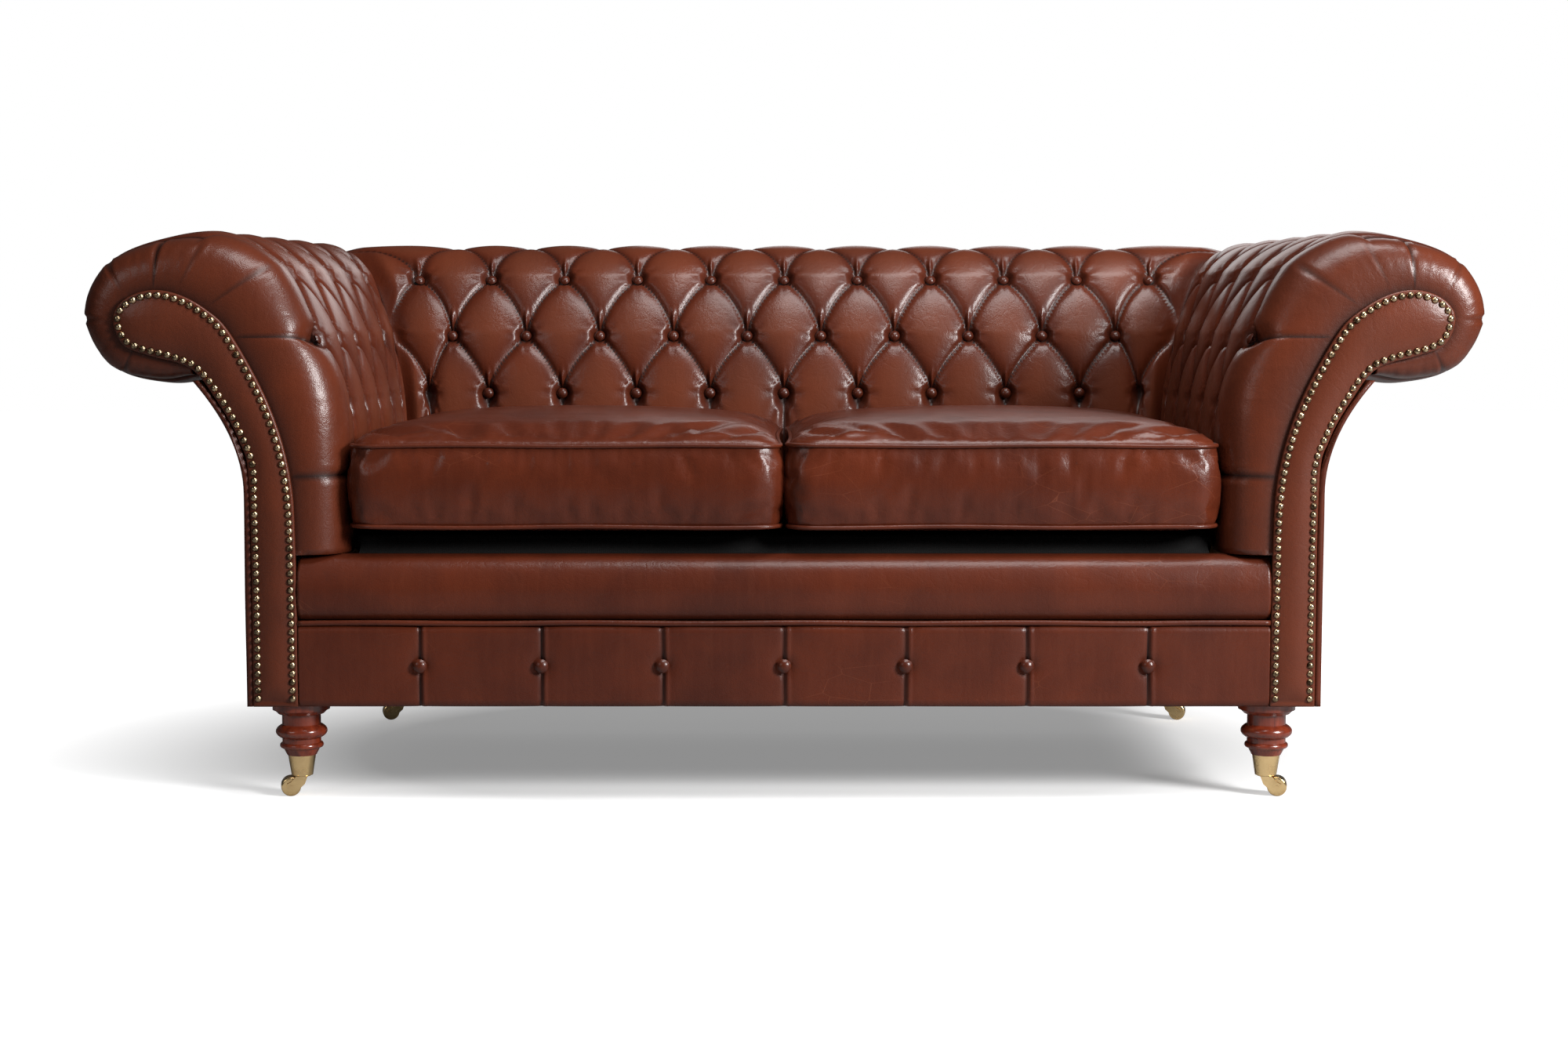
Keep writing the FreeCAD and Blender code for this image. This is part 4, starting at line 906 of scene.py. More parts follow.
    @staticmethod
    def aside(column: np.ndarray, odd: np.ndarray | int) -> np.ndarray:
        """Columns from each point to the nearest button of a row.

        Args:
            column: the points' column numbers.
            odd: 1 where the row has its buttons on odd columns, else 0.

        Returns:
            Distances, 0 at a button to 1 midway between two.
        """
        return np.abs(np.mod(column - odd + 1, 2) - 1)

    def depth_at(self, level: np.ndarray) -> np.ndarray:
        """Depth of the pleats under the crest at each row number."""
        ridge, roll, foot = self.ridge_depth, self.roll_depth, self.foot_depth
        over = roll + (ridge - roll) * np.exp(np.minimum(level, 0) / 0.5)
        upper = ridge + (self.depth - ridge) * smooth_step(level, 0.0, 1.0)
        under = foot + (self.depth - foot) * np.exp(-np.maximum(level - self.last_row, 0) / 0.18)
        below = np.where(level > self.last_row, under, self.depth)
        return np.where(level < 0, over, np.where(level < 1, upper, below))

    def toward_mitre(self, column: np.ndarray, first: float, straight: int, reach: float,
                     end: np.ndarray) -> np.ndarray:
        """Where columns lie along a pad that ends in a mitre.

        Args:
            column: column numbers.
            first: place of column 0.
            straight: number of columns at the full pitch.
            reach: share of the rest that the first column after them takes.
            end: place of the mitre, at each point's offset.

        Returns:
            The places along the pad.
        """
        last = first + straight * self.half_pitch
        beyond = column - straight
        share = np.where(beyond < 1, beyond * reach, reach + (beyond - 1) * (1 - reach))
        return np.where(beyond <= 0, first + column * self.half_pitch, last + share * (end - last))

    def crown_mark(self, height: np.ndarray, rows: np.ndarray) -> np.ndarray:
        """How rubbed a pad is: most on the crests, and not behind the ridge."""
        return smooth_step(-height, self.crown_depth, 0.0) * (rows > self.crown_end)

    def fade_to_corner(self, moved: np.ndarray, height: np.ndarray, fold: np.ndarray, cells: int,
                       depth: float) -> tuple[np.ndarray, np.ndarray]:
        """Lets the tufting end in the straight fold of a mitred corner, with painted shade along it.

        Args:
            moved: column numbers, counted up to the corner.
            height: relief of the tufting.
            fold: its painted shade marks.
            cells: the corner's column number.
            depth: depth of the corner's fold.

        Returns:
            The new relief and painted shade marks.
        """
        toward = smooth_step(moved, cells - self.corner_fade, cells)
        # Painted shade along the corner's fold.
        shade = self.corner_shade * smooth_step(moved, cells - self.corner_shade_width, cells)
        return height * (1 - toward) - depth * toward, np.maximum(fold * (1 - toward), shade)


TUFTING = Tufting()


def pad_skin(outer: np.ndarray, inner: np.ndarray, fold: np.ndarray, crown: np.ndarray,
             slant: np.ndarray) -> bmesh.types.BMesh:
    """The closed skin of a pad.

    Args:
        outer: points of its leather face, (columns, rows, 3).
        inner: points of its timber side, with as many columns.
        fold: painted shade marks of the face.
        crown: crown marks of the face.
        slant: which way the quads of the face split.

    Returns:
        The bmesh, unmarked on its timber side.
    """
    pad = [(0, 0), (0, inner.shape[1])]
    marks = [np.pad(mark, pad) for mark in (fold, crown, slant)]
    return loft(np.concatenate([outer, inner], axis=1), *marks)


@dataclass(frozen=True)
class TuftedBack:
    """The back pad: tufted from arm to arm and rolled over at the top."""

    cells_straight: int = 9
    cells_end: int = 2
    mitre_reach: float = 0.414
    corner_depth: float = 0.012
    unevenness: float = 0.0012

    def build(self) -> bpy.types.Object:
        """Makes the pad and dresses it."""
        tufts, levels = TUFTING, LEVELS
        places, rows = tufts.rows()
        half_cells = self.cells_straight + self.cells_end
        column = tufts.columns(2 * half_cells) - half_cells
        moved, height, fold, slant = tufts.relief(column, rows, lambda row: (row + 1) % 2)
        height, fold = tufts.fade_to_corner(np.abs(moved), height, fold, half_cells, self.corner_depth)
        crest = curve_points(levels.back_profile(), places)
        section = crest[None] + outward(crest)[None] * height[..., None]
        outer = self.set_out(moved, section)
        outer[..., 1] += self.unevenness * ripple(outer, 9.0, 3.0)
        inner = self.set_out(column[:, None], np.asarray(levels.back_lining())[None])
        skin = pad_skin(outer, inner, fold, tufts.crown_mark(height, rows), slant)
        piece = seat_piece("tufted_back", skin, PAD_HIDE, stands_for=["back_upholstery"])
        return piece

    def set_out(self, column: np.ndarray, section: np.ndarray) -> np.ndarray:
        """Points of the pad in the room.

        Args:
            column: column numbers, from the middle of the back.
            section: their offset from the back's face and their height, along the last axis.

        Returns:
            The points.
        """
        offset, upward = section[..., 0], section[..., 1]
        x = TUFTING.toward_mitre(np.abs(column), 0.0, self.cells_straight, self.mitre_reach,
                                 LEVELS.arm_face + offset)
        return grid_of(np.sign(column) * x, LEVELS.back_face + offset, upward)


@dataclass(frozen=True)
class TuftedArm:
    """One arm pad: a rounded, pleated front round the scroll and a tufted length behind it."""

    side: Side
    first_y: float = -0.3842
    cells_straight: int = 8
    cells_end: int = 2
    mitre_reach: float = 0.406
    corner_depth: float = 0.012
    unevenness: float = 0.0012
    front_columns: int = 26
    front_bulge: float = 0.007
    ring_inset: float = 0.004
    lining_inset: float = 0.008
    front_crown: float = 0.35
    swell_power: float = 0.9
    relief_start: float = 0.35
    rim_shade: tuple[float, float] = (0.9, 0.07)
    groove: tuple[float, float] = (0.005, 0.0028)
    shoulder: tuple[float, float, float] = (0.001, 0.009, 0.004)
    pleat_start: tuple[float, float] = (-0.05, 0.12)
    pleat_fade: float = 0.25
    pleat_shade: float = 0.85
    pleat_shade_width: float = 0.0013
    gathers: int = 58
    gather_width: float = 0.0032
    gather_span: tuple[float, float] = (0.2, 0.79)
    gather_size: tuple[float, float] = (0.0006, 0.0020)
    gather_band: tuple[float, float] = (0.3, 0.28)
    front_pleats: tuple[tuple[float, float], ...] = (
        (3.5, 1.0), (2.0, 1.0), (0.95, 0.6), (0.1, 0.45), (-0.7, 1.0), (-1.7, 0.7), (-2.9, 0.8), (-4.2, 0.6))

    def build(self) -> bpy.types.Object:
        """Makes the pad and dresses it."""
        tufts, levels = TUFTING, LEVELS
        places, rows = tufts.rows()
        cells = self.cells_straight + self.cells_end
        column = tufts.columns(cells)
        moved, height, fold, slant = tufts.relief(column, rows, lambda row: row % 2)
        height, fold = tufts.fade_to_corner(moved, height, fold, cells, self.corner_depth)
        share = self.share_of_back(moved)[..., None]
        crest_front = curve_points(levels.arm_profile(), places)
        crest_back = curve_points(levels.back_profile(), places)
        crest = crest_front[None] * (1 - share) + crest_back[None] * share
        normal = np.stack([outward(section) for section in crest])
        tufted = self.set_out(moved, crest + normal * height[..., None])
        front, front_fold_shade = self.rounded_front(places, rows, crest_front, height[0])
        outer = np.concatenate([front, tufted])
        outer[..., 0] += self.unevenness * ripple(outer, 9.0, 5.0 + self.side.value)
        inner = self.lining_points(column, front)
        for points in (outer, inner):
            points[..., 0] *= self.side.value
        crown = np.concatenate([np.full(front_fold_shade.shape, self.front_crown), tufts.crown_mark(height, rows)])
        split = np.concatenate([np.zeros(front_fold_shade.shape, bool), slant])
        skin = pad_skin(outer, inner, np.concatenate([front_fold_shade, fold]), crown, split)
        word = self.side.word
        piece = seat_piece(f"tufted_arm_{word}", skin, PAD_HIDE,
                           stands_for=[f"arm_upholstery_{word}"])
        return piece

    def share_of_back(self, column: np.ndarray) -> np.ndarray:
        """How far the arm's section has turned into the back's at each column."""
        return np.clip(column * TUFTING.half_pitch / (LEVELS.back_face - self.first_y), 0.0, 1.0)

    def set_out(self, column: np.ndarray, section: np.ndarray) -> np.ndarray:
        """Points of the right-hand pad in the room.

        Args:
            column: column numbers, from the first buttons.
            section: their offset from the arm's face and their height, along the last axis.

        Returns:
            The points.
        """
        offset, upward = section[..., 0], section[..., 1]
        y = TUFTING.toward_mitre(column, self.first_y, self.cells_straight, self.mitre_reach,
                                 LEVELS.back_face + offset)
        return grid_of(LEVELS.arm_face + offset, y, upward)

    def rounded_front(self, places: np.ndarray, rows: np.ndarray, crest: np.ndarray,
                      first_height: np.ndarray) -> tuple[np.ndarray, np.ndarray]:
        """The padding that rolls forward from the first buttons and in to the facing's edge.

        Args:
            places: place of each mesh row along the crest line.
            rows: its button row number.
            crest: the crest line behind the rounded front.
            first_height: relief of the tufting's first column.

        Returns:
            The points, (columns, rows, 3), and their painted shade marks.
        """
        levels = LEVELS
        ring = curve_points(levels.facing_ring(), places)
        ring = ring - outward(ring) * self.ring_inset
        turn = np.linspace(0.0, 1.0, self.front_columns, endpoint=False)
        angle = turn * np.pi / 2
        swell = (np.sin(angle) ** self.swell_power)[:, None, None]
        reach = self.first_y - levels.board_front
        y = levels.board_front + reach * (1 - np.cos(angle)) - self.front_bulge * np.sin(2 * angle)
        section = ring[None] * (1 - swell) + crest[None] * swell
        normal = np.stack([outward(one) for one in section])
        height = first_height[None] * smooth_step(turn, self.relief_start, 1.0)[:, None]
        height, fold = self.pleated(height, turn, run_along(crest), rows)
        section = section + normal * height[..., None]
        points = grid_of(levels.arm_face + section[..., 0], y[:, None], section[..., 1])
        # Painted shade along the rim where the padding tucks in beside the facing.
        shade, width = self.rim_shade
        return points, np.maximum(fold, shade * np.exp(-turn / width)[:, None])

    def pleated(self, height: np.ndarray, turn: np.ndarray, arc: np.ndarray,
                rows: np.ndarray) -> tuple[np.ndarray, np.ndarray]:
        """Cuts the radial pleats into the rounded front, with painted shade along them, and gathers it at
        the facing.

        Args:
            height: its relief so far, (columns, rows).
            turn: how far each column has turned from the facing to the first buttons, 0 to 1.
            arc: length along the crest line at each mesh row.
            rows: button row number of each mesh row.

        Returns:
            The new relief and the painted shade marks of the pleats.
        """
        fold = np.zeros(height.shape)
        rise, place, width = self.shoulder
        for level, end in self.front_pleats:
            away = np.abs(arc - np.interp(-level, -rows, arc))[None]
            fading = 1 - smooth_step(turn, end, end + self.pleat_fade)
            strength = (smooth_step(turn, *self.pleat_start) * fading)[:, None]
            groove = self.groove[0] * np.exp(-away / self.groove[1])
            height = height - strength * (groove - rise * bell(away - place, width))
            # Painted shade along each pleat.
            fold = np.maximum(fold, strength * self.pleat_shade * np.exp(-away / self.pleat_shade_width))
        gathers = np.zeros(arc.shape)
        for number in range(self.gathers):
            along, much = ((number * step) % 1.0 for step in SCATTER)
            centre = arc[-1] * (self.gather_span[0] + self.gather_span[1] * along)
            size = self.gather_size[0] + self.gather_size[1] * much
            gathers -= size * np.exp(-np.abs(arc - centre) / self.gather_width)
        middle, reach = self.gather_band
        band = bell(turn[:, None] - middle, reach) * (turn[:, None] > 0)
        return height + gathers[None] * band, fold

    def lining_points(self, column: np.ndarray, front: np.ndarray) -> np.ndarray:
        """The hidden timber side of the pad.

        Args:
            column: the tufted columns' numbers.
            front: points of the rounded front.

        Returns:
            Its points, section for section with the face.
        """
        levels = LEVELS
        ring = np.asarray(levels.facing_ring())
        scroll = (ring - outward(ring) * self.lining_inset)[-2::-1]
        near, far = np.asarray(levels.arm_lining()), np.asarray(levels.back_lining())
        share = self.share_of_back(column)[:, None, None]
        behind = self.set_out(column[:, None], near[None] * (1 - share) + far[None] * share)
        turn = np.linspace(0.0, 1.0, self.front_columns, endpoint=False)[:, None, None]
        start = scroll[None] * (1 - turn) + near[None] * turn
        ahead = grid_of(levels.arm_face + start[..., 0], front[:, :1, 1], start[..., 1])
        return np.concatenate([ahead, behind])


# Scroll facings and outside panels


@dataclass(frozen=True)
class ScrollFacing:
    """The crowned leather plate on the front of one arm.

    Each of the rim_steps is the width and the rise of one step in from the plate's edge.
    """

    side: Side
    points: int = 150
    thickness: float = 0.008
    rim: float = 0.0086
    rise: float = 0.0060
    rise_width: float = 0.013
    net: float = 0.009
    front_inset: float = 0.0012
    rim_steps: Outline = ((0.0018, 0.0009), (0.0026, 0.0003), (0.0020, -0.0009), (0.0021, 0.0006))

    def outline(self) -> np.ndarray:
        """The facing's edge, up its inner side, round the scroll and down its outer side."""
        levels = LEVELS
        ring = list(levels.facing_ring())
        outer, tail = levels.facing_outer, levels.facing_ring()[-1][1]
        back = [(outer + 0.046, tail - 0.041), (outer + 0.014, tail - 0.100), (outer + 0.001, tail - 0.170)]
        whole = [(levels.facing_inner, levels.frame_bottom)] + ring + back + [(outer, levels.frame_bottom)]
        dense = curve_points(whole, np.linspace(0, len(whole) - 1, 900))
        run = run_along(dense)
        even = np.linspace(0, run[-1], self.points)
        edge = np.stack([np.interp(even, run, dense[:, i]) for i in (0, 1)], axis=1)
        share = np.linspace(0, 1, 5)[1:-1, None]
        return np.concatenate([edge, edge[-1] * (1 - share) + edge[0] * share])

    def crowned(self, plate: bmesh.types.BMesh, front: bmesh.types.BMFace) -> None:
        """Cuts the middle of the plate into a fine net and raises it gently from its edge.

        Args:
            plate: the plate's bmesh.
            front: the flat face inside the rim.
        """
        region = [front, *front.edges, *front.verts]
        low, high = (Vector(pick(v.co[i] for v in front.verts) for i in range(3)) for pick in (min, max))
        for axis in (0, 2):
            normal = Vector((axis == 0, 0, axis == 2))
            for place in np.arange(low[axis] + 0.005, high[axis], self.net):
                point = Vector((place, 0, 0)) if axis == 0 else Vector((0, 0, place))
                cut = bmesh.ops.bisect_plane(plate, geom=region, dist=1e-6, plane_co=point, plane_no=normal)
                region = cut["geom"]
        edge = self.outline() + np.array([LEVELS.arm_face, 0.0])
        steps = np.linspace(0, 1, 8, endpoint=False)[:, None, None]
        dense = (edge[None] * (1 - steps) + np.roll(edge, -1, axis=0)[None] * steps).reshape(-1, 2)
        for vertex in {v for v in region if isinstance(v, bmesh.types.BMVert)}:
            away = np.hypot(dense[:, 0] - vertex.co.x, dense[:, 1] - vertex.co.z).min()
            vertex.co.y -= self.rise * (1 - math.exp(-max(away - self.rim, 0.0) / self.rise_width))

    def build(self) -> bpy.types.Object:
        """Makes the plate: extruded, rounded at its rim, and raised towards its middle."""
        levels = LEVELS
        plate = bmesh.new()
        rim = [plate.verts.new((levels.arm_face + o, levels.facing_plane + self.thickness, z))
               for o, z in self.outline()]
        back = plate.faces.new(rim)
        grown = bmesh.ops.extrude_face_region(plate, geom=[back], use_keep_orig=True)
        moved = [v for v in grown["geom"] if isinstance(v, bmesh.types.BMVert)]
        bmesh.ops.translate(plate, verts=moved, vec=(0.0, -self.thickness + self.front_inset, 0.0))
        front = next(f for f in grown["geom"] if isinstance(f, bmesh.types.BMFace))
        bmesh.ops.recalc_face_normals(plate, faces=plate.faces)
        for width, rise in self.rim_steps:
            bmesh.ops.inset_region(plate, faces=[front], thickness=width, depth=rise, use_even_offset=False)
        self.crowned(plate, front)
        plate.verts.layers.float.new("fold")
        crown = plate.verts.layers.float.new("crown")
        for vertex in plate.verts:
            vertex[crown] = 0.5
            vertex.co.x *= self.side.value
        bmesh.ops.recalc_face_normals(plate, faces=plate.faces)
        smooth_faces(plate)
        word = self.side.word
        piece = seat_piece(f"scroll_facing_{word}", plate, TRIM_HIDE,
                           stands_for=[f"arm_facing_{word}"])
        return piece


@dataclass(frozen=True)
class OutsidePanels:
    """The stretched leather outside the arms and the back, curling out under the roll."""

    outer: float = 0.137
    thickness: float = 0.008
    rear_tuck: float = 0.164
    front_tuck: float = 0.205
    bend: float = 0.430
    top: float = 0.587
    columns: int = 60
    rows: int = 44

    def section(self, tuck: float) -> np.ndarray:
        """Closed section as (offset, height), up its face and down its timber side."""
        height = np.linspace(LEVELS.frame_bottom, self.top, self.rows)
        curl = np.clip((height - self.bend) / (self.top - self.bend), 0.0, 1.0) ** 2
        face = np.stack([self.outer + (tuck - self.outer) * curl, height], axis=1)
        inside = face[::-1] - np.array([self.thickness, 0.0])
        return np.concatenate([face, inside])

    def strained(self, points: np.ndarray, axis: int, seed: float) -> np.ndarray:
        """Gives a stretched face a slight hollow and strain lines.

        Args:
            points: the panel's points, (columns, section, 3).
            axis: the axis that its face looks along.
            seed: picks the pattern of the lines.

        Returns:
            The moved points.
        """
        moved = points.copy()
        along = np.linspace(0, 1, len(points))[:, None]
        wave = 0.0011 * ripple(points, 5.0, seed) - 0.002 * np.sin(np.pi * along)
        wave[:, self.rows:] = 0.0
        moved[..., axis] += wave
        return moved

    def build(self) -> list[bpy.types.Object]:
        """Makes the two arm panels and the back panel."""
        levels, made = LEVELS, []
        share = np.linspace(0.0, 1.0, self.columns)[:, None]
        front, rear = self.section(self.front_tuck), self.section(self.rear_tuck)
        mixed = front[None] * (1 - share[..., None]) + rear[None] * share[..., None]
        start = levels.facing_plane + 0.002
        y = start + share * (levels.back_face + mixed[..., 0] - start)
        arm = grid_of(levels.arm_face + mixed[..., 0], y, mixed[..., 1])
        for side in Side:
            points = self.strained(arm, 0, 11.0 + side.value)
            points[..., 0] *= side.value
            word = side.word
            made.append(seat_piece(f"outside_arm_panel_{word}", loft(points), TRIM_HIDE,
                                   stands_for=[f"outside_arm_{word}"]))
        x = (2 * share - 1) * (levels.arm_face + rear[None, :, 0])
        back = grid_of(x, levels.back_face + rear[:, 0], rear[:, 1])
        made.append(seat_piece("outside_back_panel", loft(self.strained(back, 1, 17.0)), TRIM_HIDE,
                               stands_for=["outside_back"]))
        return made


# Front rail


@dataclass(frozen=True)
class FrontRail:
    """The pleated rail panel, the piping over it and the padded seat lip."""

    half: float = 0.676
    panel_top: float = 0.246
    pleat_pitch: float = 0.169
    pleats: int = 3
    pleat_depth: float = 0.005
    fullness_width: float = 0.05
    fullness_share: float = 0.8
    wander: float = 0.0004
    tuck_depth: float = 0.0022
    tuck_width: float = 0.0016
    tuck_shade: float = 0.8
    pleat_ridge: tuple[float, float, float] = (0.0020, 0.0055, 0.0026)
    dimple: tuple[float, float] = (0.0035, 0.014)
    dimple_shade: tuple[float, float] = (0.4, 0.012)
    hem_depth: float = 0.004
    hem: tuple[float, float] = (0.048, 0.0565)
    face_inset: float = 0.0008
    unevenness: float = 0.0008
    button_height: float = 0.190
    piping_radius: float = 0.0039
    back: float = -0.4332
    heel: float = -0.4142
    heel_height: float = 0.3335
    lip_bottom: float = 0.2538
    lip_top: float = 0.3445
    lip_points: int = 40

    def panel(self) -> bpy.types.Object:
        """The panel, with a tuck at each button, and painted shade in the tucks and round the buttons."""
        levels = LEVELS
        x = np.linspace(-self.half, self.half, 560)
        z = np.linspace(levels.frame_bottom, self.panel_top, 34)
        grid_x, grid_z = np.meshgrid(x, z, indexing="ij")
        number = np.clip(np.rint(x / self.pleat_pitch), -self.pleats, self.pleats)
        wander = self.wander * np.sin(grid_z * 40 + number[:, None] * 2.1)
        gap = (x - number * self.pleat_pitch)[:, None] + wander
        away = np.abs(gap)
        outer_pleat = (self.pleats + 0.5) * self.pleat_pitch
        pulled = 1 - np.clip(away / self.fullness_width, 0, 1)
        fullness = np.where(np.abs(grid_x) > outer_pleat, 1.0, np.sqrt(np.clip(1 - pulled ** 2, 0, 1)))
        sunk = self.pleat_depth * (1 - fullness) * self.fullness_share
        tuck = self.tuck_depth * np.exp(-away / self.tuck_width)
        rise, beside, width = self.pleat_ridge
        ridge = rise * bell(gap - beside, width)
        reach = np.hypot(gap, grid_z - self.button_height)
        dimple = self.dimple[0] * bell(reach, self.dimple[1])
        from_middle = np.abs(grid_z - (self.panel_top + levels.frame_bottom) / 2)
        hem = self.hem_depth * smooth_step(from_middle, *self.hem) ** 2
        plane = levels.facing_plane + self.face_inset
        front = grid_of(grid_x, plane + sunk + tuck - ridge + dimple + hem, grid_z)
        front[..., 1] -= self.unevenness * ripple(front, 14.0, 2.0)
        behind = front[:, ::-1].copy()
        behind[..., 1] = self.back
        shade, around = self.dimple_shade
        # Painted shade in the tucks and in the dimples round the buttons.
        fold = self.tuck_shade * np.exp(-away / self.tuck_width) + shade * bell(reach, around)
        marks = np.clip(np.concatenate([fold, np.zeros(fold.shape)], axis=1), 0, 1)
        piece = seat_piece("front_rail_leather", loft(np.concatenate([front, behind], axis=1), marks),
                           RAIL_HIDE, stands_for=["front_rail_panel"])
        return piece

    def piping(self) -> bpy.types.Object:
        """The cord of leather between the panel and the lip."""
        x = np.linspace(-self.half, self.half, 180)
        path = np.stack([x, LEVELS.facing_plane + self.piping_radius + 0.0004 * np.sin(x * 37),
                         self.panel_top + self.piping_radius + 0.0006 * np.sin(x * 21 + 1)], axis=1)
        return seat_piece("front_rail_cord", tube_along(path, self.piping_radius, False), TRIM_HIDE,
                          stands_for=["front_rail_piping"])

    def lip(self) -> bpy.types.Object:
        """The padded roll under the cushions, with painted shade along its lower edge."""
        plane, bottom, count = LEVELS.facing_plane, self.lip_bottom, self.lip_points
        face = [(plane + 0.010, bottom), (plane + 0.002, bottom + 0.012), (plane - 0.001, 0.283),
                (plane - 0.001, 0.303), (plane + 0.005, 0.325), (plane + 0.018, 0.339),
                (self.heel, self.lip_top)]
        tail = [(self.heel, self.heel_height), (self.back, self.heel_height), (self.back, bottom)]
        section = np.concatenate([curve_points(face, np.linspace(0, len(face) - 1, count)), tail])
        x = np.linspace(-self.half, self.half, 320)
        points = grid_of(x[:, None], section[:, 0], section[:, 1])
        wave = 0.0022 * ripple(points, 3.5, 7.0) + 0.0006 * ripple(points, 22.0, 9.0)
        shown = np.sin(np.linspace(0, np.pi, count)) ** 0.6
        points[..., 1] += wave * np.concatenate([shown, np.zeros(len(tail))])[None]
        fold = np.zeros(points.shape[:2])
        # Painted shade along the roll's lower edge above the piping.
        fold[:, :count] = 0.8 * np.exp(-np.arange(count) / 1.6)[None]
        piece = seat_piece("front_lip_roll", loft(points, fold), RAIL_HIDE,
                           stands_for=["front_lip"])
        return piece

    def build(self) -> list[bpy.types.Object]:
        """Makes the three pieces."""
        return [self.panel(), self.piping(), self.lip()]


# Seat cushions and the deck under them


STUFFING = {"quality": 5, "mass": 0.5, "tension_stiffness": 18, "compression_stiffness": 18,
            "shear_stiffness": 8, "bending_stiffness": 2.5, "use_pressure": True,
            "uniform_pressure_force": 2.0, "shrink_min": -0.02}


